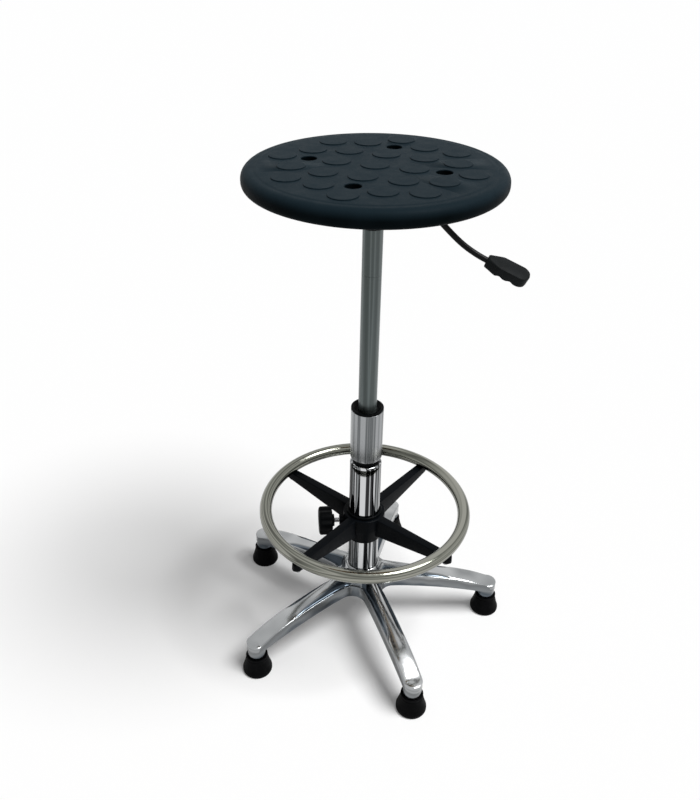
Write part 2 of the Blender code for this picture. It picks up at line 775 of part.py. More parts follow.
def make_gas_spring():
    tube_steel = make_material("grey_green_tube", (0.095, 0.115, 0.112), 0.75, 0.38)
    bright = make_material("bright_rod", (0.55, 0.55, 0.56), 1.0, 0.18)
    brass = make_material("gland_brass", (0.50, 0.38, 0.16), 1.0, 0.35)
    outer = TUBE_DIAMETER / 2
    inner = outer - TUBE_WALL
    pin = RELEASE_PIN_DIAMETER / 2
    crown = TUBE_TOP - TUBE_CROWN
    turned(
        "gas_cylinder",
        [
            (TAPER_TOP_DIAMETER / 2, TUBE_TOP, SMALL_ROUNDING),
            (outer, TUBE_TOP - TAPER_LENGTH),
            (outer, TUBE_BOTTOM, EASY_ROUNDING),
            (inner - TUBE_LIP_REACH, TUBE_BOTTOM),
            (inner - TUBE_LIP_REACH, TUBE_BOTTOM + TUBE_LIP),
            (inner, TUBE_BOTTOM + TUBE_LIP),
            (inner, crown),
            (pin + RUNNING_GAP, crown),
            (pin + RUNNING_GAP, TUBE_TOP),
        ],
        FACETS_MEDIUM,
        tube_steel,
        steps=1,
    )
    rod = ROD_DIAMETER / 2
    turned(
        "cylinder_gland",
        [
            (inner - GAP, GLAND_BOTTOM + GLAND_LENGTH, SMALL_ROUNDING),
            (inner - GAP, GLAND_BOTTOM),
            (rod + GAP, GLAND_BOTTOM),
            (rod + GAP, GLAND_BOTTOM + GLAND_LENGTH),
        ],
        FACETS_SMALL,
        brass,
        steps=1,
    )
    turned(
        "piston",
        [
            (PISTON_DIAMETER / 2, PISTON_BOTTOM + PISTON_LENGTH, SMALL_ROUNDING),
            (PISTON_DIAMETER / 2, PISTON_BOTTOM, SMALL_ROUNDING),
            (rod + GAP, PISTON_BOTTOM),
            (rod + GAP, PISTON_BOTTOM + PISTON_LENGTH),
        ],
        FACETS_SMALL,
        brass,
        steps=1,
    )
    collar = RELEASE_COLLAR_DIAMETER / 2
    collar_top = crown - GAP
    turned(
        "release_pin",
        [
            (0, RELEASE_PIN_TOP),
            (pin, RELEASE_PIN_TOP, SMALL_ROUNDING),
            (pin, collar_top),
            (collar, collar_top),
            (collar, collar_top - RELEASE_COLLAR_HEIGHT),
            (0, collar_top - RELEASE_COLLAR_HEIGHT),
        ],
        FACETS_SMALL,
        bright,
        steps=2,
    )
    rod_end = ROD_END_DIAMETER / 2
    bottom = CLIP_TOP - CLIP_THICKNESS - ROD_PAST_CLIP
    turned(
        "piston_rod",
        [
            (0, PISTON_BOTTOM + PISTON_LENGTH),
            (rod, PISTON_BOTTOM + PISTON_LENGTH),
            (rod, ROD_SHOULDER),
            (rod_end, ROD_SHOULDER),
            (rod_end, bottom, SMALL_ROUNDING),
            (0, bottom),
        ],
        FACETS_SMALL,
        bright,
        steps=1,
    )


def ring_piece(name, outer, inner, bottom, height, material, edge=0.0):
    top = bottom + height
    profile = [(outer, top, edge), (outer, bottom, edge), (inner, bottom), (inner, top)]
    return turned(name, profile, FACETS_SMALL, material, steps=1)


def make_lower_bearing():
    hard_steel = make_material("bearing_steel", (0.40, 0.40, 0.41), 1.0, 0.25)
    cage = make_material("bearing_cage", (0.50, 0.40, 0.20), 0.8, 0.4)
    rubber = make_material("bumper_rubber", (0.015, 0.015, 0.015), 0.0, 0.7)
    race = RACE_DIAMETER / 2
    bore = ROD_END_DIAMETER / 2 + GAP
    clip_bottom = CLIP_TOP - CLIP_THICKNESS
    rod_bore = ROD_DIAMETER / 2 + GAP
    ring_piece("thrust_race_lower", race, bore, LOWER_RACE_BOTTOM, RACE_THICKNESS, hard_steel)
    ring_piece("thrust_bearing", race - GAP, bore, BEARING_BOTTOM, BEARING_THICKNESS, cage)
    ring_piece("thrust_race_upper", race, bore, UPPER_RACE_BOTTOM, RACE_THICKNESS, hard_steel)
    ring_piece("bumper", BUMPER_DIAMETER / 2, rod_bore, BUMPER_BOTTOM, BUMPER_LENGTH, rubber, SOFT_ROUNDING)
    ring_piece("retaining_clip", CLIP_DIAMETER / 2, bore, clip_bottom, CLIP_THICKNESS, hard_steel)


def make_column():
    chrome = make_material("column_chrome", (0.72, 0.73, 0.74), 1.0, 0.08)
    outer = COLUMN_DIAMETER / 2
    inner = outer - COLUMN_WALL
    neck = outer - ROLLED_EDGE
    turned(
        "column",
        [
            (neck, COLUMN_TOP),
            (outer, COLUMN_TOP, ROLLED_EDGE_ROUNDING),
            (outer, COLUMN_BOTTOM),
            (ROD_END_DIAMETER / 2 + RUNNING_GAP, COLUMN_BOTTOM),
            (ROD_END_DIAMETER / 2 + RUNNING_GAP, COLUMN_FLOOR),
            (inner, COLUMN_FLOOR),
            (inner, COLUMN_TOP - ROLLED_EDGE),
            (neck, COLUMN_TOP - ROLLED_EDGE / 2),
        ],
        FACETS_LARGE,
        chrome,
        steps=2,
    )
    turned(
        "column_sleeve",
        [
            (outer - COLUMN_WALL / 2, SLEEVE_TOP),
            (outer, SLEEVE_TOP - SLEEVE_TOP_CHAMFER, FINE_ROUNDING),
            (outer, SLEEVE_BOTTOM, ROLLED_EDGE_ROUNDING),
            (neck, SLEEVE_BOTTOM),
            (neck, SLEEVE_BOTTOM + ROLLED_EDGE / 2),
            (inner, SLEEVE_BOTTOM + ROLLED_EDGE),
            (inner, SLEEVE_TOP),
        ],
        FACETS_LARGE,
        chrome,
        steps=2,
    )


def make_bush():
    plastic = make_material("bush_plastic", (0.01, 0.01, 0.011), 0.0, 0.4)
    wide = COLUMN_DIAMETER / 2 - COLUMN_WALL - GAP
    narrow = COLUMN_DIAMETER / 2 - ROLLED_EDGE - GAP
    bore = TUBE_DIAMETER / 2 + RUNNING_GAP
    top = SLEEVE_TOP - BUSH_BELOW_SLEEVE
    turned(
        "guide_bush",
        [
            (wide, top, FINE_ROUNDING),
            (wide, SLEEVE_BOTTOM + ROLLED_EDGE + GAP),
            (narrow, SLEEVE_BOTTOM + ROLLED_EDGE / 2 + GAP),
            (narrow, COLUMN_TOP - ROLLED_EDGE / 2 - GAP),
            (wide, COLUMN_TOP - ROLLED_EDGE - GAP),
            (wide, BUSH_BOTTOM),
            (bore, BUSH_BOTTOM),
            (bore, top - BUSH_DISH_DEPTH),
            (bore + BUSH_DISH_FLOOR, top - BUSH_DISH_DEPTH),
            (wide - BUSH_RIM_WIDTH - BUSH_RIM_EASE, top - BUSH_RIM_DROP),
            (wide - BUSH_RIM_WIDTH, top),
        ],
        FACETS_MEDIUM,
        plastic,
        steps=1,
    )


def make_column_cap():
    plastic = make_material("cap_plastic", (0.01, 0.01, 0.011), 0.0, 0.45)
    outer = CAP_DIAMETER / 2
    top = BAND_AT_HUB - GAP
    turned(
        "column_cap",
        [
            (outer, top),
            (outer, CAP_BOTTOM, CAP_ROUNDING),
            (CAP_HOLE_DIAMETER / 2, CAP_BOTTOM),
            (CAP_HOLE_DIAMETER / 2, CAP_BOTTOM + CAP_WALL),
            (COLUMN_DIAMETER / 2 + GAP, CAP_BOTTOM + CAP_WALL),
            (COLUMN_DIAMETER / 2 + GAP, top),
        ],
        FACETS_MEDIUM,
        plastic,
        steps=2,
    )


def smooth_share(value, start, end):
    """0 before start, 1 past end, and an even S between."""
    share = min(max((value - start) / (end - start), 0.0), 1.0)
    return share * share * (3.0 - 2.0 * share)


def tip_bend(radius):
    return max(1.0 - (FOOT_RADIUS - radius) / TIP_BEND_LENGTH, 0.0) ** 2


def crown_height(radius):
    hub_edge = HUB_BORE + HUB_RIM
    return CROWN_AT_HUB - CROWN_SLOPE * (radius - hub_edge) - CROWN_TIP_DROP * tip_bend(radius)


def band_bottom(radius):
    hub_edge = HUB_BORE + HUB_RIM
    return BAND_AT_HUB - BAND_SLOPE * (radius - hub_edge) - BAND_TIP_DROP * tip_bend(radius)


def crest_half_width(radius):
    """Half the width of the crest between an arm's two scoops."""
    share = min(max((radius - SCOOP_START) / (SCOOP_END - SCOOP_START), 0.0), 1.0)
    return CREST_AT_HUB + (ARM_WIDTH / 2 - CREST_AT_HUB) * share**CREST_POWER


def surface_height(share, crown, band_top, crest, scooped):
    """The casting's top across half an arm: share is 0 on the crest line and 1 at the band."""
    rounded = band_top + (crown - band_top) * math.sqrt(max(1.0 - share * share, 0.0))
    crest_drop = (crown - band_top) * CREST_CROWN_SHARE
    if share <= crest:
        hollowed = crown - crest_drop * (share / crest) ** 2
    else:
        fall = 1.0 - (share - crest) / (1.0 - crest)
        hollowed = band_top + (crown - crest_drop - band_top) * fall**SCOOP_POWER
    return scooped * hollowed + (1.0 - scooped) * rounded


def casting_rib(inner, outer, crown, radius, crest, hollow, roof_inner=None):
    """One rib of the casting, from its crest line over the top, down the band and back under the roof."""
    bottom = band_bottom(min(radius, FOOT_RADIUS))
    band_top = bottom + BAND_HEIGHT
    scooped = 1.0 - smooth_share(radius, SCOOP_END - SCOOP_FADE, SCOOP_END)
    shares = [0.0, crest] + [crest + (1.0 - crest) * part for part in SCOOP_SHARES]
    rib = []
    for share in shares:
        height = surface_height(share, crown, band_top, crest, scooped)
        rib.append((*inner.lerp(outer, share), height))
    across = (outer - inner).normalized()
    rib.append((*(outer - across * BAND_EDGE), band_top + BAND_EDGE / 3))
    rib.append((*outer, band_top - BAND_EDGE))
    rib.append((*outer, bottom))
    wall_foot = outer - across * CASTING_WALL
    under = roof_inner or inner
    roof_side = bottom + hollow * (band_top - CASTING_WALL - bottom)
    middle_height = surface_height(0.5, crown, band_top, crest, scooped)
    roof_middle = bottom + hollow * (middle_height - CASTING_WALL - bottom)
    inner_share = (under - inner).length / (outer - inner).length
    inner_height = surface_height(inner_share, crown, band_top, crest, scooped)
    roof_crest = bottom + hollow * (inner_height - CREST_WALL - bottom)
    rib.append((*wall_foot, bottom))
    rib.append((*under.lerp(wall_foot, ROOF_SIDE_SHARE), roof_side))
    rib.append((*under.lerp(wall_foot, 0.5), roof_middle))
    rib.append((*under, roof_crest))
    return rib


def web_point(share):
    """A point of the rounded web: share 0 is halfway between two arms, 1 is on the arm's side."""
    half_sector = math.pi / ARM_COUNT
    side = ARM_WIDTH / 2
    from_axis = (side + WEB_RADIUS) / math.sin(half_sector)
    centre = Vector((from_axis * math.cos(half_sector), side + WEB_RADIUS))
    start = math.pi + half_sector
    angle = start + (1.5 * math.pi - start) * share
    return centre + Vector((math.cos(angle), math.sin(angle))) * WEB_RADIUS


def half_arm_ribs():
    """The ribs of half an arm and half a web, from halfway between two arms out to the tip."""
    half_sector = math.pi / ARM_COUNT
    rim = HUB_BORE + HUB_RIM
    wall = HUB_BORE + HUB_WALL
    side = ARM_WIDTH / 2
    web_end = web_point(1.0).x
    hub_ribs = []
    for step in range(WEB_RIBS + 1):
        share = step / WEB_RIBS
        angle = half_sector * (1.0 - share)
        direction = Vector((math.cos(angle), math.sin(angle)))
        outer = web_point(share)
        crest = max(crest_half_width(rim) / side * share, CREST_NARROWEST_SHARE)
        wall_point = direction * wall
        rib = casting_rib(direction * rim, outer, CROWN_AT_HUB, rim, crest, 1.0, wall_point)
        foot = band_bottom(rim)
        rib.append((*wall_point, foot))
        rib.append((*(direction * HUB_BORE), foot))
        rib.append((*(direction * HUB_BORE), HUB_TOP))
        rib.append((*(direction * (rim - HUB_RIM / 3)), HUB_TOP))
        hub_ribs.append(rib)
    arm_ribs = []
    for step in range(1, ARM_RIBS):
        station = rim + (FOOT_RADIUS - rim) * step / ARM_RIBS
        lead = (web_end - rim) * max(1.0 - (station - rim) / FAN_LENGTH, 0.0)
        arm_ribs.append(arm_rib(station, Vector((station + lead, side))))
    for step in range(TIP_RIBS + 1):
        angle = math.pi / 2 * (1.0 - step / TIP_RIBS)
        tip = Vector((FOOT_RADIUS + side * math.cos(angle), side * math.sin(angle)))
        arm_ribs.append(arm_rib(FOOT_RADIUS, tip))
    return hub_ribs, arm_ribs


def arm_rib(station, outer):
    hollow_end = FOOT_RADIUS - SOLID_TIP
    hollow = 1.0 - smooth_share(station, hollow_end - HOLLOW_FADE, hollow_end)
    crest = min(crest_half_width(station) / (ARM_WIDTH / 2), CREST_WIDEST_SHARE)
    return casting_rib(Vector((station, 0.0)), outer, crown_height(station), station, crest, hollow)


def add_strip(bm, ribs, closed):
    rows = [[bm.verts.new(point) for point in rib] for rib in ribs]
    for row, following in zip(rows, rows[1:]):
        count = min(len(row), len(following))
        last = count if closed else count - 1
        for i in range(last):
            j = (i + 1) % count
            bm.faces.new((row[i], row[j], following[j], following[i]))


def make_base():
    aluminium = make_material("polished_aluminium", (0.70, 0.71, 0.72), 1.0, 0.14)
    hub_ribs, arm_ribs = half_arm_ribs()
    half = bmesh.new()
    add_strip(half, hub_ribs, closed=True)
    shared = len(arm_ribs[0])
    add_strip(half, [hub_ribs[-1][:shared]] + arm_ribs, closed=False)
    half_mesh = bpy.data.meshes.new("half_arm")
    half.to_mesh(half_mesh)
    half.free()
    whole = bmesh.new()
    for arm in range(ARM_COUNT):
        turn = Matrix.Rotation(math.tau * arm / ARM_COUNT, 4, "Z")
        for mirror in (1.0, -1.0):
            before = len(whole.verts)
            whole.from_mesh(half_mesh)
            whole.verts.ensure_lookup_table()
            added = whole.verts[before:]
            bmesh.ops.transform(whole, matrix=turn @ Matrix.Diagonal((1.0, mirror, 1.0, 1.0)), verts=added)
    bmesh.ops.remove_doubles(whole, verts=whole.verts, dist=WELD_DISTANCE)
    bpy.data.meshes.remove(half_mesh)
    base = add_object("base", mesh_from_bmesh("base", whole, CASTING_SMOOTH_ANGLE), aluminium)
    boss_top = band_bottom(FOOT_RADIUS) + BOSS_INTO_ARM
    stem_top = STEM_BOTTOM + STEM_LENGTH + GAP
    feet = (foot_azimuths(), FOOT_RADIUS)
    boss = BOSS_DIAMETER / 2
    stem = STEM_DIAMETER / 2 + GAP
    cut(base, cylinder_set("foot_bosses", boss, BOSS_BOTTOM, boss_top, FACETS_BOSS, *feet), "UNION")
    cut(base, cylinder_set("stem_bores", stem, 0.0, stem_top, FACETS_HIDDEN, *feet))


def foot_azimuths():
    return [360.0 * i / ARM_COUNT for i in range(ARM_COUNT)]


def make_glides():
    rubber = make_material("glide_rubber", (0.008, 0.008, 0.008), 0.0, 0.5)
    steel = make_material("glide_stem_steel", (0.45, 0.45, 0.46), 1.0, 0.3)
    rim = GLIDE_RIM_DIAMETER / 2
    flare = GLIDE_FLARE_DIAMETER / 2
    cup = BOSS_DIAMETER / 2 + RUNNING_GAP
    cup_floor = BOSS_BOTTOM - GAP
    stem_bore = STEM_DIAMETER / 2 + GAP
    belly = (rim + flare) / 2 + GLIDE_BELLY
    middle = (GLIDE_HEIGHT + GLIDE_FLARE_HEIGHT) / 2
    for i, azimuth in enumerate(foot_azimuths()):
        glide = turned(
            f"glide_{i + 1}",
            [
                (0, STEM_BOTTOM - GAP),
                (stem_bore, STEM_BOTTOM - GAP),
                (stem_bore, cup_floor),
                (cup, cup_floor),
                (cup, GLIDE_HEIGHT),
                (rim, GLIDE_HEIGHT, FINE_ROUNDING),
                (rim, GLIDE_HEIGHT - GLIDE_RIM_HEIGHT),
                (belly, middle),
                (flare, GLIDE_FLARE_HEIGHT, SOFT_ROUNDING),
                (flare - GLIDE_EDGE / 2, 0.0, GLIDE_EDGE / 2),
                (0, 0.0),
            ],
            FACETS_GLIDE,
            rubber,
            steps=1,
        )
        place(glide, azimuth, FOOT_RADIUS)
        stem = cylinder(
            f"glide_stem_{i + 1}",
            STEM_DIAMETER / 2,
            STEM_BOTTOM,
            STEM_BOTTOM + STEM_LENGTH,
            FACETS_HIDDEN,
            steel,
        )
        place(stem, azimuth, FOOT_RADIUS)


def spoke_azimuths():
    return [SPOKE_AZIMUTH + 360.0 * i / SPOKE_COUNT for i in range(SPOKE_COUNT)]


def ring_screw_bores(name, top):
    radius = RING_SCREW_DIAMETER / 2 + GAP
    return cylinder_set(name, radius, SPIDER_BOTTOM, top, FACETS_HIDDEN, spoke_azimuths(), RING_RADIUS)


def make_foot_ring():
    chrome = make_material("ring_chrome", (0.66, 0.66, 0.60), 1.0, 0.14)
    bpy.ops.mesh.primitive_torus_add(
        major_segments=FACETS_RING,
        minor_segments=FACETS_RING_TUBE,
        major_radius=RING_RADIUS,
        minor_radius=RING_TUBE_DIAMETER / 2,
    )
    ring = bpy.context.object
    bpy.context.collection.objects.unlink(ring)
    PARTS.objects.link(ring)
    ring.name = "foot_ring"
    ring.data.name = "foot_ring"
    ring.data.materials.append(chrome)
    ring.data.shade_smooth()
    ring.location = (0, 0, RING_HEIGHT)
    ring_bottom = RING_HEIGHT - RING_TUBE_DIAMETER / 2
    cut(ring, ring_screw_bores("ring_bores", ring_bottom + RING_SCREW_INTO_TUBE + GAP))


def spoke_mesh():
    """A spoke along X: level on top, and deepest at the hub."""
    outer = RING_RADIUS + SPOKE_PAST_RING
    bm = bmesh.new()
    bmesh.ops.create_cube(bm, size=1.0)
    for vert in bm.verts:
        at_end = vert.co.x > 0
        width = SPOKE_END_WIDTH if at_end else SPOKE_WIDTH
        depth = SPOKE_END_DEPTH if at_end else SPOKE_DEPTH
        vert.co = (
            outer if at_end else SPOKE_START,
            math.copysign(width / 2, vert.co.y),
            SPOKE_TOP - SPOKE_EDGE / 2 - (0.0 if vert.co.z > 0 else depth),
        )
    end_corners = [
        edge for edge in bm.edges if all(vert.co.x > RING_RADIUS for vert in edge.verts) and is_upright(edge)
    ]
    bmesh.ops.bevel(bm, geom=end_corners, offset=SPOKE_END_ROUNDING, segments=3, affect="EDGES", profile=0.5)
    long_edges = [edge for edge in bm.edges if not is_upright(edge)]
    bmesh.ops.bevel(bm, geom=long_edges, offset=SPOKE_EDGE, segments=1, affect="EDGES", profile=0.5)
    return mesh_from_bmesh("spoke", bm)


def is_upright(edge):
    first, second = (vert.co for vert in edge.verts)
    return (first.xy - second.xy).length < abs(first.z - second.z) / 10


def spider_wall(clearance=0.0):
    """The radii and heights of the hub's outer side, top to bottom, moved outwards by a clearance."""
    upper = SPIDER_TOP_DIAMETER / 2 + clearance
    lower = SPIDER_BOTTOM_DIAMETER / 2 + clearance
    shoulder = (upper, SPOKE_TOP - SPIDER_SHOULDER_DEPTH, SPIDER_SHOULDER_ROUNDING)
    return (upper, SPOKE_TOP), shoulder, (lower, SPIDER_BOTTOM)


def hub_quarter_mesh():
    """The part of the hub between the middles of two spokes, with its X axis halfway between them."""
    top, shoulder, bottom = spider_wall()
    outline = rounded_outline(
        [
            (*top, SMALL_ROUNDING),
            shoulder,
            (*bottom, SOFT_ROUNDING),
            (SPIDER_BORE, SPIDER_BOTTOM),
            (SPIDER_BORE, SPOKE_TOP),
        ],
        2,
    )
    steps = FACETS_MEDIUM // SPOKE_COUNT
    half_turn = math.pi / SPOKE_COUNT - GAP / 2 / SPIDER_BORE
    ribs = []
    for step in range(steps + 1):
        turn = Matrix.Rotation(half_turn * (2 * step / steps - 1), 3, "Z")
        ribs.append([turn @ Vector((point.x, 0.0, point.y)) for point in outline])
    bm = bmesh.new()
    add_strip(bm, ribs, closed=True)
    bmesh.ops.holes_fill(bm, edges=bm.edges)
    bmesh.ops.triangulate(bm, faces=bm.faces)
    return mesh_from_bmesh("hub_quarter", bm)


def make_spider():
    """One moulding, built as four spokes and four quarters of the hub that seat on each other."""
    plastic = make_material("spider_plastic", (0.012, 0.013, 0.015), 0.0, 0.45)
    quarter = hub_quarter_mesh()
    quarters = []
    for i, azimuth in enumerate(spoke_azimuths()):
        quarters.append(add_object(f"hub_quarter_{i + 1}", quarter, plastic))
        place(quarters[i], azimuth + CLAMP_AZIMUTH - SPOKE_AZIMUTH)
    boss = cylinder(
        "clamp_boss", CLAMP_BOSS_DIAMETER / 2, SPOKE_START, CLAMP_BOSS_REACH, FACETS_CLAMP, cutter=True
    )
    lay_along_azimuth(boss, CLAMP_AZIMUTH, 0.0, CLAMP_HEIGHT)
    cut(quarters[0], boss, "UNION")
    stud_bore = cylinder(
        "stud_bore", STUD_DIAMETER / 2 + GAP, 0.0, 2 * CLAMP_BOSS_REACH, FACETS_SMALL, cutter=True
    )
    lay_along_azimuth(stud_bore, CLAMP_AZIMUTH, 0.0, CLAMP_HEIGHT)
    cut(quarters[0], stud_bore)
    seat_on_hub = turned(
        "spoke_seat",
        [(0, SPOKE_TOP), *spider_wall(GAP), (0, SPIDER_BOTTOM)],
        FACETS_MEDIUM,
        cutter=True,
        steps=2,
    )
    place(seat_on_hub, SPOKE_AZIMUTH)
    bpy.ops.mesh.primitive_torus_add(
        major_segments=FACETS_RING,
        minor_segments=FACETS_RING_TUBE,
        major_radius=RING_RADIUS,
        minor_radius=RING_TUBE_DIAMETER / 2 + GAP,
    )
    saddle = bpy.context.object
    bpy.context.collection.objects.unlink(saddle)
    CUTTERS.objects.link(saddle)
    saddle.name = "ring_saddle"
    saddle.hide_render = True
    saddle.display_type = "WIRE"
    saddle.location = (0, 0, RING_HEIGHT)
    screw_bores = ring_screw_bores("spoke_bores", RING_HEIGHT)
    shared = spoke_mesh()
    for i, azimuth in enumerate(spoke_azimuths()):
        spoke = add_object(f"spoke_{i + 1}", shared, plastic)
        place(spoke, azimuth)
        for cutter in (seat_on_hub, saddle, screw_bores):
            cut(spoke, cutter)


def make_liner():
    nylon = make_material("liner_nylon", (0.01, 0.01, 0.011), 0.0, 0.35)
    inner = COLUMN_DIAMETER / 2 + GAP
    flange = LINER_FLANGE_DIAMETER / 2
    turned(
        "foot_liner",
        [
            (flange, LINER_TOP, EASY_ROUNDING),
            (flange, SPOKE_TOP + GAP, FINE_ROUNDING),
            (inner + LINER_WALL, SPOKE_TOP + GAP),
            (inner + LINER_WALL, SPIDER_BOTTOM),
            (inner, SPIDER_BOTTOM),
            (inner, LINER_TOP),
        ],
        FACETS_MEDIUM,
        nylon,
        steps=1,
    )


def make_ring_screws():
    steel = make_material("ring_screw_steel", (0.30, 0.30, 0.31), 1.0, 0.35)
    shank = RING_SCREW_DIAMETER / 2
    head = RING_SCREW_HEAD_DIAMETER / 2
    span = RING_RADIUS + SPOKE_PAST_RING - SPOKE_START
    past = RING_RADIUS - RING_SCREW_HEAD_DIAMETER / 2 - SPOKE_START
    depth = SPOKE_DEPTH + (SPOKE_END_DEPTH - SPOKE_DEPTH) * past / span
    seating = SPOKE_TOP - SPOKE_EDGE / 2 - depth - GAP
    tip = RING_HEIGHT - RING_TUBE_DIAMETER / 2 + RING_SCREW_INTO_TUBE
    for i, azimuth in enumerate(spoke_azimuths()):
        screw = turned(
            f"ring_screw_{i + 1}",
            [
                (0, tip),
                (shank, tip),
                (shank, seating),
                (head, seating),
                (head, seating - RING_SCREW_HEAD_HEIGHT, SMALL_ROUNDING),
                (0, seating - RING_SCREW_HEAD_HEIGHT),
            ],
            FACETS_HIDDEN,
            steel,
            steps=1,
        )
        place(screw, azimuth, RING_RADIUS)


def make_clamp():
    steel = make_material("stud_steel", (0.60, 0.60, 0.61), 1.0, 0.22)
    nylon = make_material("shoe_nylon", (0.02, 0.02, 0.02), 0.0, 0.5)
    plastic = make_material("knob_plastic", (0.012, 0.012, 0.013), 0.0, 0.4)
    radius = STUD_DIAMETER / 2
    shoe_start = COLUMN_DIAMETER / 2 + GAP + LINER_WALL + GAP
    shoe = cylinder("clamp_shoe", radius, shoe_start, shoe_start + SHOE_LENGTH, FACETS_SMALL, nylon)
    lay_along_azimuth(shoe, CLAMP_AZIMUTH, 0.0, CLAMP_HEIGHT)
    stud_start = shoe_start + SHOE_LENGTH + GAP
    stud_end = KNOB_INNER_FACE + STUD_IN_KNOB
    stud = cylinder("clamp_stud", radius, stud_start, stud_end, FACETS_SMALL, steel)
    lay_along_azimuth(stud, CLAMP_AZIMUTH, 0.0, CLAMP_HEIGHT)
    bm = bmesh.new()
    outline = []
    steps = KNOB_LOBES * KNOB_STEPS_PER_LOBE
    for step in range(steps):
        angle = math.tau * step / steps
        lobe = KNOB_LOBE_DEPTH * (0.5 - 0.5 * math.cos(KNOB_LOBES * angle))
        reach = KNOB_DIAMETER / 2 - lobe
        outline.append(bm.verts.new((reach * math.cos(angle), reach * math.sin(angle), KNOB_INNER_FACE)))
    face = bm.faces.new(outline)
    raised = bmesh.ops.extrude_face_region(bm, geom=[face])
    moved = [item for item in raised["geom"] if isinstance(item, bmesh.types.BMVert)]
    bmesh.ops.translate(bm, vec=(0, 0, KNOB_THICKNESS), verts=moved)
    rims = [edge for edge in bm.edges if abs(edge.verts[0].co.z - edge.verts[1].co.z) < KNOB_THICKNESS / 2]
    bmesh.ops.bevel(bm, geom=rims, offset=KNOB_EDGE, segments=2, affect="EDGES", profile=0.5)
    knob = add_object("clamp_knob", mesh_from_bmesh("clamp_knob", bm, 45.0), plastic)
    lay_along_azimuth(knob, CLAMP_AZIMUTH, 0.0, CLAMP_HEIGHT)
    neck = cylinder(
        "knob_neck",
        KNOB_NECK_DIAMETER / 2,
        KNOB_INNER_FACE - KNOB_NECK_LENGTH,
        KNOB_INNER_FACE + KNOB_EDGE,
        FACETS_CLAMP,
        cutter=True,
    )
    lay_along_azimuth(neck, CLAMP_AZIMUTH, 0.0, CLAMP_HEIGHT)
    cut(knob, neck, "UNION")
    socket = cylinder(
        "knob_socket", radius + GAP, stud_start, stud_end + GAP, FACETS_SMALL, cutter=True
    )
    lay_along_azimuth(socket, CLAMP_AZIMUTH, 0.0, CLAMP_HEIGHT)
    cut(knob, socket)


def stand_over_box_middle():
    """Moves the stool along X, so that the origin is under the middle of its box."""
    front = FOOT_RADIUS + GLIDE_FLARE_DIAMETER / 2
    back = FOOT_RADIUS * math.cos(math.pi / ARM_COUNT) + GLIDE_FLARE_DIAMETER / 2
    for collection in (PARTS, CUTTERS):
        for obj in collection.objects:
            obj.location.x -= (front - back) / 2


clear_scene()
PARTS = new_collection("office_stool")
CUTTERS = new_collection("cutters", hidden=True)
make_seat()
SCREW_BORES = make_screw_bores()
make_board(SCREW_BORES)
make_seat_screws()
make_pan(SCREW_BORES)
make_socket()
make_handle(make_lever())
make_pivot_pin()
make_gas_spring()
make_lower_bearing()
make_column()
make_bush()
make_column_cap()
make_base()
make_glides()
make_foot_ring()
make_spider()
make_liner()
make_ring_screws()
make_clamp()
stand_over_box_middle()
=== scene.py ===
import math

import bmesh
import bpy
from mathutils import Matrix, Vector


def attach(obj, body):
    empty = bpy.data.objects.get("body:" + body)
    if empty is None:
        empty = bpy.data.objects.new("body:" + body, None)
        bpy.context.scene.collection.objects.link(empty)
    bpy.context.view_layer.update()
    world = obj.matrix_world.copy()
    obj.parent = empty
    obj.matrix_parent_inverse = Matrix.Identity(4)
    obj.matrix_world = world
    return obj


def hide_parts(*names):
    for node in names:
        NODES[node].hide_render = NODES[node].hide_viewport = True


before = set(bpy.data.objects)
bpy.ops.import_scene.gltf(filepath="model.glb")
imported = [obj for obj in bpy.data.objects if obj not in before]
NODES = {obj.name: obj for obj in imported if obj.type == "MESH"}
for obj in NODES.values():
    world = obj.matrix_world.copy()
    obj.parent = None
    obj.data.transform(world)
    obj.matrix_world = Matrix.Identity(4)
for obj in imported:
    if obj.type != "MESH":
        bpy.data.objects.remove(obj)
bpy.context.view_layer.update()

# Sizes and places shared with the CAD part, in metres and degrees
AXIS_X = -0.0209795
FEET = [0.0, 72.0, 144.0, 216.0, 288.0]
FOOT_RADIUS = 0.2197
SEAT_TOP = 0.795
SEAT_BOTTOM = 0.7705
BOARD_TOP = 0.7795
SEAT_RADIUS = 0.1717
SEAT_AZIMUTH = 15.5
SCREW_CIRCLE = 0.090
LEVER_AZIMUTH = 198.8
LEVER_LINE = 0.7597
PIVOT_RADIUS = 0.030
COLUMN_RADIUS = 0.025
SPOKE_AZIMUTHS = [-5.8, 84.2, 174.2, 264.2]
RING_RADIUS = 0.1613
RING_HEIGHT = 0.2352
RING_TUBE_RADIUS = 0.010
SPOKE_TOP = 0.2285
SPIDER_BOTTOM = 0.179
SPIDER_BORE = 0.0275
CLAMP_AZIMUTH = 39.2
CLAMP_HEIGHT = 0.2085

# The space left between two pieces that seat on each other
GAP = 0.0003

# Radius of the bores for the lever's bar, the clamp's stud and the glides' stems
ROD_BORE = 0.0043

# Angles over which an edge is shown sharp
SHARP = 35.0
CASTING_SHARP = 28.0
MOULDING_SHARP = 40.0


# Shader helpers


def feed(tree, socket, value):
    """Sets a node's input, or links it where the value is another node's output."""
    if isinstance(value, bpy.types.NodeSocket):
        tree.links.new(value, socket)
    else:
        socket.default_value = value


def add_node(tree, kind, **inputs):
    node = tree.nodes.new("ShaderNode" + kind)
    for name, value in inputs.items():
        feed(tree, node.inputs[name.replace("_", " ")], value)
    return node


def maths(tree, operation, first, second):
    node = add_node(tree, "Math")
    node.operation = operation
    feed(tree, node.inputs[0], first)
    feed(tree, node.inputs[1], second)
    return node.outputs["Value"]


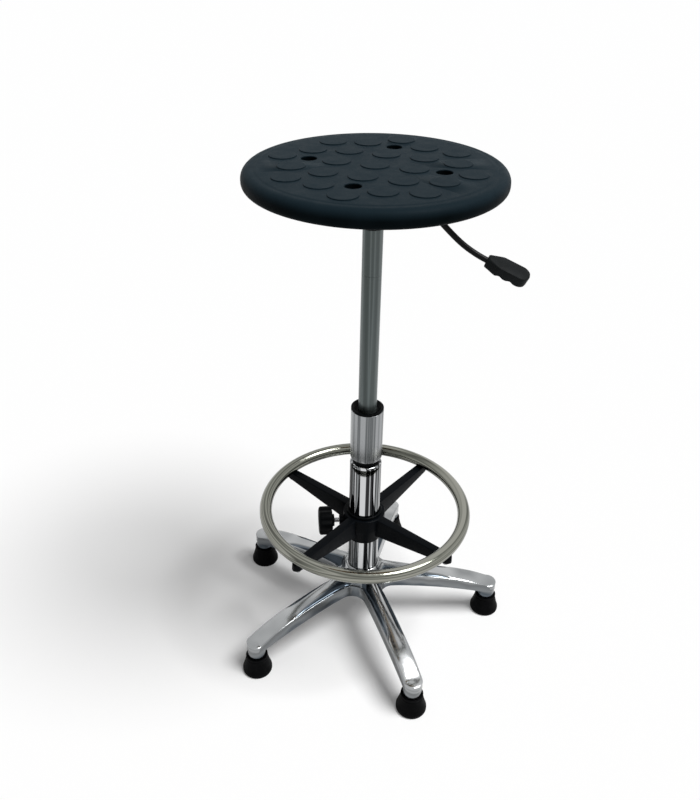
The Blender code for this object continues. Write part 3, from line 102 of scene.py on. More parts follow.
class Shader:
    """A Principled material with the few nodes that its surface needs."""

    def __init__(self, name, colour, metallic=0.0, **sockets):
        self.material = bpy.data.materials.new(name)
        self.material.use_nodes = True
        self.tree = self.material.node_tree
        self.bsdf = self.tree.nodes["Principled BSDF"]
        self.feed("Base Color", (*colour, 1.0))
        self.feed("Metallic", metallic)
        for socket, value in sockets.items():
            self.feed(socket.replace("_", " "), value)
        self.coordinates = self.node("TexCoord").outputs
        self.height = None

    def node(self, kind, **inputs):
        return add_node(self.tree, kind, **inputs)

    def feed(self, socket, value):
        feed(self.tree, self.bsdf.inputs[socket], value)

    def stretched(self, stretch):
        return self.node("Mapping", Vector=self.coordinates["Object"], Scale=stretch).outputs["Vector"]

    def noise(self, scale, detail=3.0, rough=0.55, stretch=(1, 1, 1), distortion=0.0):
        node = self.node("TexNoise", Vector=self.stretched(stretch), Scale=scale, Detail=detail)
        node.inputs["Roughness"].default_value = rough
        node.inputs["Distortion"].default_value = distortion
        return node.outputs["Fac"]

    def cells(self, scale):
        return self.node("TexVoronoi", Vector=self.stretched((1, 1, 1)), Scale=scale).outputs["Distance"]

    def ramp(self, source, low, high, start=0.3, end=0.7):
        node = self.node("MapRange", Value=source, From_Min=start, From_Max=end, To_Min=low, To_Max=high)
        return node.outputs["Result"]

    def roughness(self, source, low, high, start=0.3, end=0.7):
        self.feed("Roughness", self.ramp(source, low, high, start, end))

    def bump(self, source, depth, strength):
        """Adds to the surface's relief; depth is in metres."""
        node = self.node("Bump", Strength=strength, Distance=depth, Height=source)
        if self.height is not None:
            feed(self.tree, node.inputs["Normal"], self.height)
        self.height = node.outputs["Normal"]
        self.feed("Normal", self.height)

    def colours(self, source, tones):
        """Colours that follow the source; each tone is the source's value and its colour."""
        node = self.node("ValToRGB", Fac=source)
        elements = node.color_ramp.elements
        elements[0].position, elements[1].position = tones[0][0], tones[-1][0]
        for position, _ in tones[1:-1]:
            elements.new(position)
        for element, (_, colour) in zip(elements, tones):
            element.color = (*colour, 1.0)
        self.feed("Base Color", node.outputs["Color"])

    def across_ring(self, scale, drift):
        """Noise that is the same along a level ring round the column and changes round its tube."""
        from_axis = self.node("Mapping", Vector=self.coordinates["Object"], Location=(-AXIS_X, 0.0, 0.0))
        parts = self.node("SeparateXYZ", Vector=from_axis.outputs["Vector"]).outputs
        level = self.node("CombineXYZ", X=parts["X"], Y=parts["Y"]).outputs["Vector"]
        radius = self.node("VectorMath", Vector=level)
        radius.operation = "LENGTH"
        slow = maths(self.tree, "MULTIPLY", parts["X"], drift)
        place = self.node("CombineXYZ", X=radius.outputs["Value"], Y=parts["Z"], Z=slow).outputs["Vector"]
        return self.node("TexNoise", Vector=place, Scale=scale, Detail=1.0).outputs["Fac"]

    def facing_up(self):
        return self.node("SeparateXYZ", Vector=self.coordinates["Normal"]).outputs["Z"]

    def added(self, first, second):
        return maths(self.tree, "ADD", first, second)

    def attribute(self, name):
        node = self.node("Attribute")
        node.attribute_name = name
        return node.outputs["Fac"]


def scaled(colour, factor):
    return tuple(factor * value for value in colour)


# Materials


def seat_skin():
    """Moulded skin: slate on top, with painted shade that turns it near black down its rolled side, and a
    fine grain.
    """
    skin = Shader("seat_skin", (0.010, 0.018, 0.024), Specular_IOR_Level=0.015)
    # Painted shade: the colour darkens as the surface turns away from facing up, down to near black on the
    # rolled side
    level = skin.ramp(skin.facing_up(), 0.0, 0.8, 0.05, 0.85)
    cloud = skin.ramp(skin.noise(14.0, 4.0, 0.6), 0.0, 0.2)
    # side is the painted shade colour of the rolled side; top and cloudy are the skin's own slate tones
    side, top, cloudy = (0.0008, 0.0020, 0.0024), (0.0086, 0.0165, 0.0222), (0.0104, 0.0192, 0.0252)
    skin.colours(skin.added(level, cloud), [(0.0, side), (0.8, top), (1.0, cloudy)])
    skin.roughness(skin.noise(60.0, 5.0, 0.7), 0.42, 0.55)
    skin.bump(skin.noise(900.0, 4.0, 0.7), 0.00012, 0.5)
    skin.bump(skin.cells(1400.0), 0.00006, 0.4)
    skin.bump(skin.noise(35.0, 2.0, 0.5), 0.0005, 0.25)
    return skin.material


def moulded_plastic(name, colour, roughness):
    plastic = Shader(name, colour, Specular_IOR_Level=0.035)
    plastic.colours(plastic.noise(40.0, 4.0, 0.6), [(0.35, colour), (0.8, scaled(colour, 1.7))])
    plastic.roughness(plastic.noise(120.0, 4.0, 0.6), roughness - 0.07, roughness + 0.08)
    plastic.bump(plastic.cells(1500.0), 0.00005, 0.45)
    plastic.bump(plastic.noise(260.0, 3.0, 0.6), 0.00008, 0.35)
    return plastic.material


def rubber(name):
    dark, light = (0.0012, 0.0013, 0.0015), (0.004, 0.004, 0.0045)
    skin = Shader(name, light, Specular_IOR_Level=0.03)
    skin.colours(skin.noise(90.0, 5.0, 0.65), [(0.35, dark), (0.8, light)])
    skin.roughness(skin.noise(150.0, 4.0, 0.6), 0.42, 0.62)
    skin.bump(skin.noise(1100.0, 4.0, 0.7), 0.00009, 0.5)
    skin.bump(skin.noise(70.0, 2.0, 0.5, (1, 1, 5)), 0.0003, 0.2)
    return skin.material


def painted_steel(name, colour, roughness):
    paint = Shader(name, colour, Specular_IOR_Level=0.10)
    paint.colours(paint.noise(60.0, 5.0, 0.6), [(0.4, colour), (0.9, scaled(colour, 2.0))])
    paint.roughness(paint.noise(240.0, 4.0, 0.6), roughness - 0.08, roughness + 0.1)
    paint.bump(paint.noise(700.0, 3.0, 0.6), 0.00012, 0.5)
    return paint.material


def plated(name, colour, roughness, streak, tones, band_scale, relief):
    """Bright plating with upright bands of painted reflection, faint polishing streaks and fine marks."""
    chrome = Shader(name, colour, metallic=1.0)
    streaks = chrome.noise(220.0, 5.0, 0.65, (1, 1, 0.02))
    # Painted reflection: upright light and dark bands in the plating's colour
    chrome.colours(chrome.noise(band_scale, 1.0, 0.5, (1, 1, 0.004)), tones)
    chrome.roughness(streaks, roughness, roughness + streak, 0.35, 0.75)
    chrome.bump(streaks, relief, 0.35)
    chrome.bump(chrome.noise(45.0, 3.0, 0.55), 0.0003, 0.10)
    return chrome.material


def cast_alloy():
    """Polished aluminium: bands of painted shade and reflection that darken in the hollows and down the
    sides, soft waves, scratches and tiny pits.
    """
    alloy = Shader("polished_casting", (0.66, 0.675, 0.69), metallic=1.0)
    # Tones that go from light to dark as the painted shade and reflection held in the hollow attribute
    # deepens
    tones = [(0.0, (0.46, 0.47, 0.475)), (0.15, (0.26, 0.27, 0.275)), (0.22, (0.33, 0.34, 0.345))]
    tones += [(0.31, (0.16, 0.168, 0.172)), (0.40, (0.21, 0.222, 0.23)), (0.50, (0.075, 0.090, 0.105))]
    tones += [(0.60, (0.14, 0.165, 0.19)), (0.75, (0.026, 0.033, 0.040)), (1.0, (0.065, 0.080, 0.100))]
    waves = alloy.ramp(alloy.noise(20.0, 1.0, 0.5), 0.0, 0.16)
    # The hollow attribute holds painted shade and reflection darkness for the scoops and the casting's sides
    alloy.colours(alloy.added(alloy.attribute("hollow"), waves), tones)
    alloy.roughness(alloy.noise(160.0, 5.0, 0.7), 0.13, 0.24, 0.35, 0.75)
    alloy.bump(alloy.noise(38.0, 2.0, 0.5), 0.0008, 0.12)
    alloy.bump(alloy.noise(420.0, 4.0, 0.7), 0.00005, 0.35)
    pits = alloy.ramp(alloy.cells(520.0), 0.0, 1.0, 0.02, 0.09)
    alloy.bump(pits, 0.0001, 0.25)
    return alloy.material


def tube_coat():
    """The gas spring's grey-green coat, with upright bands of painted reflection in its colour and faint
    upright draw lines.
    """
    coat = Shader("tube_coat", (0.105, 0.125, 0.122), metallic=0.55, Specular_IOR_Level=0.3)
    lines = coat.noise(420.0, 4.0, 0.7, (1, 1, 0.008))
    # Painted reflection: light and dark upright bands across the coat's grey-green
    middle = (0.088, 0.104, 0.103)
    tones = [(0.34, (0.065, 0.079, 0.077)), (0.42, middle), (0.48, (0.14, 0.165, 0.165)), (0.54, middle)]
    tones += [(0.60, (0.070, 0.085, 0.083)), (0.68, (0.18, 0.205, 0.20))]
    coat.colours(coat.noise(95.0, 1.0, 0.5, (1, 1, 0.01)), tones)
    coat.roughness(lines, 0.28, 0.42, 0.35, 0.7)
    coat.bump(lines, 0.00004, 0.4)
    coat.bump(coat.noise(900.0, 3.0, 0.6), 0.00004, 0.3)
    return coat.material


def wrapped_chrome():
    """The ring's chrome under its clear film: milky olive, with lines of painted reflection along the tube,
    and wrinkles.
    """
    chrome = Shader("ring_chrome", (0.40, 0.40, 0.36), metallic=1.0)
    # Painted reflection: dark, middle and light lines that run along the tube and change round it; the olive
    # tint is the film's own
    dark, middle, light = (0.070, 0.072, 0.062), (0.165, 0.170, 0.145), (0.30, 0.30, 0.265)
    tones = [(0.30, middle), (0.39, light), (0.42, dark), (0.46, middle), (0.50, light), (0.53, middle)]
    tones += [(0.56, dark), (0.59, middle), (0.66, light)]
    chrome.colours(chrome.across_ring(105.0, 0.03), tones)
    chrome.roughness(chrome.noise(60.0, 5.0, 0.7), 0.06, 0.24, 0.4, 0.7)
    chrome.bump(chrome.noise(70.0, 4.0, 0.6, distortion=0.6), 0.0008, 0.22)
    chrome.bump(chrome.noise(320.0, 3.0, 0.6), 0.0001, 0.3)
    return chrome.material


def machined(name, colour, roughness):
    steel = Shader(name, colour, metallic=1.0)
    steel.roughness(steel.noise(500.0, 5.0, 0.7), roughness - 0.08, roughness + 0.12)
    steel.colours(steel.noise(120.0, 4.0, 0.6), [(0.35, scaled(colour, 0.75)), (0.65, colour)])
    steel.bump(steel.noise(1200.0, 3.0, 0.6), 0.00003, 0.5)
    return steel.material


def plywood():
    wood = Shader("birch_plywood", (0.50, 0.36, 0.21))
    grain = wood.noise(60.0, 5.0, 0.6, (1, 0.06, 14.0), 0.6)
    wood.colours(grain, [(0.3, (0.36, 0.24, 0.13)), (0.7, (0.58, 0.43, 0.27))])
    wood.bump(grain, 0.0002, 0.4)
    wood.roughness(wood.noise(200.0), 0.5, 0.7)
    return wood.material


# Places and meshes


def out_at(azimuth, radius=0.0, height=0.0):
    """A place out from the origin along an azimuth, with X pointing outwards."""
    return Matrix.Rotation(math.radians(azimuth), 4, "Z") @ Matrix.Translation((radius, 0, height))


def at_column(azimuth=0.0, radius=0.0, height=0.0):
    """The same place out from the column's axis."""
    return Matrix.Translation((AXIS_X, 0, 0)) @ out_at(azimuth, radius, height)


AT_ORIGIN = Matrix.Identity(4)
LYING = Matrix.Rotation(math.radians(90), 4, "Y")


def turn_steps(count):
    """The cosine and sine of each step of a full turn."""
    return [(math.cos(math.tau * i / count), math.sin(math.tau * i / count)) for i in range(count)]


def quarter_steps(count):
    """The sine and cosine of each step of a quarter turn, with both of its ends."""
    angles = [math.pi / 2 * i / count for i in range(count + 1)]
    return [(math.sin(angle), math.cos(angle)) for angle in angles]


def smooth_share(value, start, end):
    share = min(max((value - start) / (end - start), 0.0), 1.0)
    return share * share * (3.0 - 2.0 * share)


def smooth_mesh(obj, angle):
    obj.data.shade_smooth()
    obj.data.set_sharp_from_angle(angle=math.radians(angle))


def mesh_object(name, bm, material, angle=SHARP):
    mesh = bpy.data.meshes.new(name)
    bmesh.ops.recalc_face_normals(bm, faces=bm.faces)
    bm.to_mesh(mesh)
    bm.free()
    mesh.materials.append(material)
    obj = bpy.data.objects.new(name, mesh)
    bpy.context.scene.collection.objects.link(obj)
    smooth_mesh(obj, angle)
    return obj


def evaluated_mesh(obj):
    bpy.context.view_layer.update()
    graph = bpy.context.evaluated_depsgraph_get()
    return bpy.data.meshes.new_from_object(obj.evaluated_get(graph))


def settle(obj):
    """Applies the object's modifiers to its mesh."""
    mesh = evaluated_mesh(obj)
    obj.modifiers.clear()
    obj.data = mesh


def joined(obj, others, operation="DIFFERENCE", angle=SHARP):
    """Cuts the others from obj or joins them to it, and removes them."""
    for other in others:
        modifier = obj.modifiers.new(other.name, "BOOLEAN")
        modifier.object = other
        modifier.operation = operation
        modifier.solver = "EXACT"
    settle(obj)
    for other in others:
        bpy.data.objects.remove(other, do_unlink=True)
    smooth_mesh(obj, angle)


def rounded_outline(points, steps):
    """The outline with an arc at each point (r, z, radius); a point (r, z) stays sharp."""
    outline = []
    for i, point in enumerate(points):
        here = Vector(point[:2])
        if len(point) == 2:
            outline.append(here)
            continue
        radius = point[2]
        before = (Vector(points[i - 1][:2]) - here).normalized()
        after = (Vector(points[(i + 1) % len(points)][:2]) - here).normalized()
        half_angle = before.angle(after) / 2
        reach = radius / math.tan(half_angle)
        centre = here + (before + after).normalized() * radius / math.sin(half_angle)
        start = here + before * reach - centre
        turn = (here + after * reach - centre).angle_signed(start)
        for step in range(steps + 1):
            outline.append(centre + Matrix.Rotation(turn * step / steps, 2) @ start)
    return outline


def turned(name, points, material, segments=96, steps=6, place=None, angle=SHARP):
    """A closed profile of (radius, height) turned round Z, on the column's axis unless a place is given."""
    on_axis = 1e-7
    outline = rounded_outline(points, steps)
    bm = bmesh.new()
    rows = []
    for radius, height in outline:
        if radius < on_axis:
            rows.append([bm.verts.new((0, 0, height))])
        else:
            rows.append([bm.verts.new((radius * x, radius * y, height)) for x, y in turn_steps(segments)])
    is_ring = min(point.x for point in outline) > on_axis
    pairs = list(zip(rows, rows[1:])) + ([(rows[-1], rows[0])] if is_ring else [])
    for first, second in pairs:
        for i in range(segments):
            j = (i + 1) % segments
            corners = [first[i % len(first)], first[j % len(first)]]
            corners += [second[j % len(second)], second[i % len(second)]]
            corners = list(dict.fromkeys(corners))
            if len(corners) > 2:
                bm.faces.new(corners)
    obj = mesh_object(name, bm, material, angle)
    obj.data.transform(place if place is not None else at_column())
    return obj


def drill(radius, bottom, top, material, segments, place=AT_ORIGIN):
    """A round cutter along the Z axis of its place."""
    profile = [(0, top), (radius, top), (radius, bottom), (0, bottom)]
    return turned("drill", profile, material, segments, place=place)


def loft(name, rings, material, angle=SHARP, loop=False):
    """Faces between rings of the same number of points, with flat ends unless the rings form a loop."""
    bm = bmesh.new()
    rows = [[bm.verts.new(point) for point in ring] for ring in rings]
    pairs = list(zip(rows, rows[1:])) + ([(rows[-1], rows[0])] if loop else [])
    for row, following in pairs:
        for i in range(len(row)):
            j = (i + 1) % len(row)
            bm.faces.new((row[i], row[j], following[j], following[i]))
    if not loop:
        bm.faces.new(rows[0])
        bm.faces.new(rows[-1])
    return mesh_object(name, bm, material, angle)


def dress(obj, body, slot, *nodes):
    """Puts a finished piece on its body in place of the CAD nodes that it stands for."""
    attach(obj, body)
    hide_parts(*nodes)


def repaint(material, *names):
    for name in names:
        mesh = NODES[name].data
        mesh.materials.clear()
        mesh.materials.append(material)


# Seat


DISC_RADIUS = 0.019
DISC_HEIGHT = 0.0012
RECESS_DEPTH = 0.012
BOARD_POCKET = 0.1453


def quarter_turns(x, y):
    """A point and its three copies, a quarter turn apart."""
    return [(x, y), (-y, x), (-x, -y), (y, -x)]


def disc_centres():
    centres = [(0.0, 0.0)]
    for x, y in ((0.0515, 0), (0.0515, 0.0515), (0.099, 0.040), (0.040, 0.099), (0.087, 0.087), (0.127, 0)):
        centres += quarter_turns(x, y)
    return centres


def seat_blank(skin):
    pocket_roof = BOARD_TOP + GAP
    profile = [
        (0, SEAT_TOP),
        (0.1490, SEAT_TOP),
        (0.1520, SEAT_TOP - 0.0001, 0.004),
        (0.1555, SEAT_TOP - 0.0006, 0.006),
        (SEAT_RADIUS, SEAT_TOP - 0.0008, 0.0125),
        (SEAT_RADIUS, SEAT_BOTTOM, 0.0085),
        (BOARD_POCKET + 0.001, SEAT_BOTTOM, 0.0006),
        (BOARD_POCKET, SEAT_BOTTOM + 0.0012),
        (BOARD_POCKET, pocket_roof),
        (0, pocket_roof),
    ]
    return turned("seat_foam", profile, skin, segments=160, steps=9, place=AT_ORIGIN)


def seat_disc(skin, x, y):
    profile = [
        (0, SEAT_TOP + DISC_HEIGHT),
        (DISC_RADIUS - 0.0004, SEAT_TOP + DISC_HEIGHT, 0.0008),
        (DISC_RADIUS, SEAT_TOP + 0.0001, 0.0003),
        (DISC_RADIUS + 0.0007, SEAT_TOP - 0.0002),
        (DISC_RADIUS + 0.0007, SEAT_TOP - DISC_HEIGHT),
        (0, SEAT_TOP - DISC_HEIGHT),
    ]
    return turned("disc", profile, skin, segments=48, steps=4, place=Matrix.Translation((x, y, 0)))


def screw_recess(skin, place):
    floor = SEAT_TOP - RECESS_DEPTH
    profile = [
        (0, SEAT_TOP + 0.004),
        (0.0135, SEAT_TOP + 0.004),
        (0.0135, SEAT_TOP + 0.0002),
        (0.0105, SEAT_TOP + 0.0002, 0.0018),
        (0.0102, floor, 0.0012),
        (0, floor),
    ]
    return turned("recess", profile, skin, segments=48, steps=5, place=place)


def make_seat():
    skin = seat_skin()
    seat = seat_blank(skin)
    joined(seat, [seat_disc(skin, x, y) for x, y in disc_centres()], "UNION")
    cutters = []
    for i in range(4):
        place = out_at(90.0 * i, SCREW_CIRCLE)
        cutters += [screw_recess(skin, place), drill(0.0033, SEAT_BOTTOM, SEAT_TOP, skin, 24, place)]
    joined(seat, cutters)
    seat.data.transform(at_column(SEAT_AZIMUTH))
    even = seat.modifiers.new("even_normals", "WEIGHTED_NORMAL")
    even.keep_sharp = True
    even.weight = 90
    settle(seat)
    dress(seat, "seat_unit", "seat_skin", "seat")


def make_seat_screws():
    steel = machined("recessed_screws", (0.20, 0.20, 0.205), 0.35)
    seating = SEAT_TOP - RECESS_DEPTH + GAP
    head_top = seating + 0.0045
    screw_end = 0.7632
    profile = [
        (0, head_top),
        (0.0045, head_top, 0.0015),
        (0.0070, seating + 0.0022, 0.0015),
        (0.0070, seating),
        (0.0030, seating),
        (0.0030, screw_end, 0.0006),
        (0, screw_end),
    ]
    for i in range(4):
        place = at_column(SEAT_AZIMUTH + 90.0 * i, SCREW_CIRCLE)
        screw = turned(f"seat_screw_head_{i + 1}", profile, steel, segments=40, place=place)
        cross = []
        for turn in (20.0, 110.0):
            bm = bmesh.new()
            bmesh.ops.create_cube(bm, size=1.0)
            bmesh.ops.scale(bm, vec=(0.0056, 0.0011, 0.005), verts=bm.verts)
            arm = mesh_object("drive", bm, steel)
            arm.data.transform(place @ out_at(turn, height=head_top))
            cross.append(arm)
        joined(screw, cross, angle=30.0)
        dress(screw, "seat_unit", "bright_steel", f"seat_screw_{i + 1}")


# Base casting


HUB_BORE = 0.0253
RIM = HUB_BORE + 0.0034
HUB_FACE = HUB_BORE + 0.0055
HUB_FOOT = 0.0768
COLLAR_TOP = 0.1175
CROWN_TOP = 0.1130
ARM_SIDE = 0.0152
HALF_SECTOR = math.pi / len(FEET)
WEB_RADIUS = 0.0233
BAND_FOOT = 0.0690
BAND_TOP = 0.0920
BAND_ROUNDING = 0.0012
FOOT_ROUNDING = 0.0008
CASTING_WALL = 0.0035
CREST_WALL = 0.0049
SCOOP_START = 0.040
SCOOP_SPOON = 0.124
SCOOP_END = 0.153
BOSS_RADIUS = 0.0146
BOSS_FOOT = 0.0305
STEM_TOP = 0.0483

# How far across from its crease to the band a scoop has its points
SCOOP_STEPS = (0.04, 0.10, 0.18, 0.27, 0.37, 0.48, 0.60, 0.72, 0.84, 0.93)


def crown_height(radius):
    tip_bend = max(1.0 - (FOOT_RADIUS - radius) / 0.060, 0.0) ** 2
    return CROWN_TOP - 0.22 * (radius - RIM) - 0.0062 * tip_bend


def band_bottom(radius):
    return BAND_FOOT - 0.70 * max(radius - 0.050, 0.0) ** 2


def band_edge(radius):
    """The height of the crisp line along an arm's side, where its top begins."""
    return min(BAND_TOP - (radius - 0.055) ** 2, crown_height(radius) - 0.0022)


def crest_half_width(radius):
    """The crown's half width beside the scoops, which end bluntly, like a spoon."""
    along = min(max((radius - SCOOP_START) / 0.080, 0.0), 1.0)
    past = min(max((radius - SCOOP_SPOON) / (SCOOP_END - SCOOP_SPOON), 0.0), 1.0)
    narrow = 0.0042 + 0.0030 * along
    return narrow + (ARM_SIDE - narrow) * (1.0 - math.sqrt(1.0 - past * past))


def half_round(share, foot, top):
    return foot + (top - foot) * math.sqrt(max(1.0 - share * share, 0.0))


def surface_height(share, crown, band_top, crest):
    """The top across half an arm: a half-round crest, and a scoop from its crease down to the band."""
    rounded = half_round(share, band_top, crown)
    if share <= crest:
        return rounded
    lip = half_round(crest, band_top, crown)
    along = (share - crest) / (1.0 - crest)
    dip = 0.0012 * math.sin(math.pi * along) * min((1.0 - crest) * 2.0, 1.0)
    return min(rounded, band_top + (lip - band_top) * (1.0 - along) ** 2.5 - dip)


def casting_rib(inner, outer, crown, radius, crest, hollow, under=None):
    """A section of the casting from inner to outer: its top, its band and its hollow's roof."""
    bottom = band_bottom(radius)
    band_top = band_edge(radius)
    shares = [crest * part / 7 for part in range(7)]
    shares += [crest - 0.012 * min(crest, 1.0), crest]
    shares += [crest + (1.0 - crest) * part for part in SCOOP_STEPS]
    rib = [(*inner.lerp(outer, share), surface_height(share, crown, band_top, crest)) for share in shares]
    across = (outer - inner).normalized()
    for sine, cosine in quarter_steps(4):
        drop = BAND_ROUNDING * (1 - cosine) - 0.0003 * cosine
        rib.append((*(outer - across * BAND_ROUNDING * (1 - sine)), band_top - drop))
    for sine, cosine in quarter_steps(3):
        rib.append((*(outer - across * FOOT_ROUNDING * (1 - cosine)), bottom + FOOT_ROUNDING * (1 - sine)))
    wall_foot = outer - across * CASTING_WALL
    under = under or inner
    under_share = (under - inner).length / (outer - inner).length
    roof_side = bottom + hollow * (band_top - CASTING_WALL - bottom)
    middle = surface_height(0.5, crown, band_top, crest)
    roof_middle = bottom + hollow * (middle - CASTING_WALL - bottom)
    top = surface_height(under_share, crown, band_top, crest)
    roof_crest = bottom + hollow * (top - CREST_WALL - bottom)
    rib.append((*wall_foot, bottom))
    rib.append((*under.lerp(wall_foot, 0.96), bottom + (roof_side - bottom) * 0.6))
    rib.append((*under.lerp(wall_foot, 0.90), roof_side))
    rib.append((*under.lerp(wall_foot, 0.70), roof_side + (roof_middle - roof_side) * 0.6))
    rib.append((*under.lerp(wall_foot, 0.50), roof_middle))
    rib.append((*under.lerp(wall_foot, 0.25), roof_middle + (roof_crest - roof_middle) * 0.7))
    rib.append((*under, roof_crest))
    return rib


def web_point(share):
    """A point of the rounded web: share 0 is halfway between two arms, 1 is on the arm's side."""
    from_axis = (ARM_SIDE + WEB_RADIUS) / math.sin(HALF_SECTOR)
    centre = Vector((from_axis * math.cos(HALF_SECTOR), ARM_SIDE + WEB_RADIUS))
    start = math.pi + HALF_SECTOR
    angle = start + (1.5 * math.pi - start) * share
    return centre + Vector((math.cos(angle), math.sin(angle))) * WEB_RADIUS


def hub_rib(share):
    """A section through the hub and the web, closed round the hub's wall and collar."""
    angle = HALF_SECTOR * (1.0 - share)
    direction = Vector((math.cos(angle), math.sin(angle)))
    crest = max(crest_half_width(RIM) / ARM_SIDE * share, 0.08)
    wall_point = direction * HUB_FACE
    rib = casting_rib(direction * RIM, web_point(share), CROWN_TOP, RIM, crest, 1.0, wall_point)
    collar = [(HUB_FACE, HUB_FOOT), (HUB_BORE, HUB_FOOT)]
    collar += [(HUB_BORE, COLLAR_TOP - 0.0004), (HUB_BORE + 0.0004, COLLAR_TOP)]
    collar += [(RIM - 0.0016, COLLAR_TOP), (RIM - 0.0009, COLLAR_TOP - 0.0005)]
    return rib + [(*(direction * radius), height) for radius, height in collar]


def arm_rib(station, outer):
    hollow_end = FOOT_RADIUS - 0.022
    hollow = 1.0 - smooth_share(station, hollow_end - 0.016, hollow_end)
    crest = min(crest_half_width(station) / ARM_SIDE, 0.985)
    return casting_rib(Vector((station, 0.0)), outer, crown_height(station), station, crest, hollow)


def arm_ribs():
    """The sections of half an arm past the hub, with those that turn round its tip."""
    stations = 44
    web_end = web_point(1.0).x
    ribs = []
    for step in range(1, stations):
        station = RIM + (FOOT_RADIUS - RIM) * step / stations
        lead = (web_end - RIM) * max(1.0 - (station - RIM) / 0.056, 0.0)
        ribs.append(arm_rib(station, Vector((station + lead, ARM_SIDE))))
    for step in range(13):
        angle = math.pi / 2 * (1.0 - step / 12)
        tip = Vector((FOOT_RADIUS + ARM_SIDE * math.cos(angle), ARM_SIDE * math.sin(angle)))
        ribs.append(arm_rib(FOOT_RADIUS, tip))
    return ribs


def add_strip(bm, ribs, closed):
    rows = [[bm.verts.new(point) for point in rib] for rib in ribs]
    for row, following in zip(rows, rows[1:]):
        count = len(row)
        for i in range(count if closed else count - 1):
            j = (i + 1) % count
            bm.faces.new((row[i], row[j], following[j], following[i]))


def half_arm_mesh():
    around_hub = [hub_rib(step / 12) for step in range(13)]
    along_arm = arm_ribs()
    half = bmesh.new()
    add_strip(half, around_hub, closed=True)
    add_strip(half, [around_hub[-1][: len(along_arm[0])]] + along_arm, closed=False)
    mesh = bpy.data.meshes.new("half_arm")
    half.to_mesh(mesh)
    half.free()
    return mesh


def paint_hollow_shade(mesh):
    """Stores each point's painted shade and reflection darkness: its depth below the arm's full round, or
    down the casting's side.
    """
    full_depth = 0.0055
    # Painted shade levels: down the casting's side and how fast it deepens there, on the web between arms,
    # and the darkest allowed
    side_shade, side_slope, web_shade, darkest = 0.18, 11.0, 0.35, 0.72
    hollow = mesh.attributes.new("hollow", "FLOAT", "POINT")
    for i, vert in enumerate(mesh.vertices):
        radius = vert.co.xy.length
        angle = (math.atan2(vert.co.y, vert.co.x) + HALF_SECTOR) % (2 * HALF_SECTOR) - HALF_SECTOR
        along, aside = radius * math.cos(angle), abs(radius * math.sin(angle))
        share = min(aside / ARM_SIDE, 1.0)
        edge = band_edge(along)
        above_band = vert.co.z > edge - 0.0016
        if above_band and aside > ARM_SIDE * 1.04:
            tone = web_shade
        elif above_band and share < 0.97:
            tone = (half_round(share, edge, crown_height(along)) - vert.co.z) / full_depth
        else:
            tone = side_shade + side_slope * max(edge - vert.co.z, 0.0)
        hollow.data[i].value = min(max(tone, 0.0), darkest)


def make_base():
    alloy = cast_alloy()
    half = half_arm_mesh()
    whole = bmesh.new()
    for azimuth in FEET:
        for mirror in (1.0, -1.0):
            before = len(whole.verts)
            whole.from_mesh(half)
            whole.verts.ensure_lookup_table()
            place = out_at(azimuth) @ Matrix.Diagonal((1.0, mirror, 1.0, 1.0))
            bmesh.ops.transform(whole, matrix=place, verts=whole.verts[before:])
    bmesh.ops.remove_doubles(whole, verts=whole.verts, dist=0.000004)
    bmesh.ops.dissolve_degenerate(whole, edges=whole.edges, dist=0.000002)
    bpy.data.meshes.remove(half)
    base = mesh_object("base_casting", whole, alloy, CASTING_SHARP)
    top = band_bottom(FOOT_RADIUS) + 0.004
    profile = [(0, top), (BOSS_RADIUS, top), (BOSS_RADIUS, BOSS_FOOT, 0.0007), (0, BOSS_FOOT)]
    places = [out_at(azimuth, FOOT_RADIUS) for azimuth in FEET]
    bosses = [turned("boss", profile, alloy, segments=64, steps=3, place=place) for place in places]
    joined(base, bosses, "UNION", CASTING_SHARP)
    stems = [drill(ROD_BORE, 0.0, STEM_TOP, alloy, 24, place) for place in places]
    joined(base, stems, angle=CASTING_SHARP)
    paint_hollow_shade(base.data)
    base.data.transform(at_column())
    dress(base, "stand", "base_alloy", "base")


def make_glides():
    """Rubber feet with a collar under the boss, a groove, and a skirt that flares to the floor."""
    skin = rubber("glide_rubber")
    profile = [
        (0, 0.0097),
        (ROD_BORE, 0.0097),
        (ROD_BORE, BOSS_FOOT - GAP),
        (0.0151, BOSS_FOOT - GAP),
        (0.0151, 0.0345),
        (0.01775, 0.0345, 0.0007),
        (0.01775, 0.0315, 0.0004),
        (0.0171, 0.0308, 0.0003),
        (0.0171, 0.0300, 0.0003),
        (0.0179, 0.0293, 0.0004),
        (0.0182, 0.0265, 0.006),
        (0.0214, 0.0140, 0.010),
        (0.0240, 0.0062, 0.0014),
        (0.0240, 0.0022, 0.0010),
        (0.0229, 0.0, 0.0006),
        (0, 0.0),
    ]
    for i, azimuth in enumerate(FEET):
        place = at_column(azimuth, FOOT_RADIUS)
        glide = turned(f"glide_foot_{i + 1}", profile, skin, segments=72, steps=5, place=place)
        dress(glide, "stand", "black_rubber", f"glide_{i + 1}")


# Column and gas spring


COLUMN_BORE = 0.0225
COLUMN_NECK = 0.0205
COLUMN_FOOT = 0.0618
COLUMN_TOP = 0.3300
SLEEVE_FOOT = 0.3375
SLEEVE_TOP = 0.4270
BUSH_TOP = 0.4300
LIP_ROUNDING = 0.0043
# Band colours of the painted reflection in the column's and the sleeve's plating
PAINTED_REFLECTION_BLACK = (0.012, 0.012, 0.012)
PAINTED_REFLECTION_DARK = (0.05, 0.052, 0.055)
PAINTED_REFLECTION_MIDDLE = (0.22, 0.23, 0.235)
CHROME_LIGHT = (0.60, 0.61, 0.62)


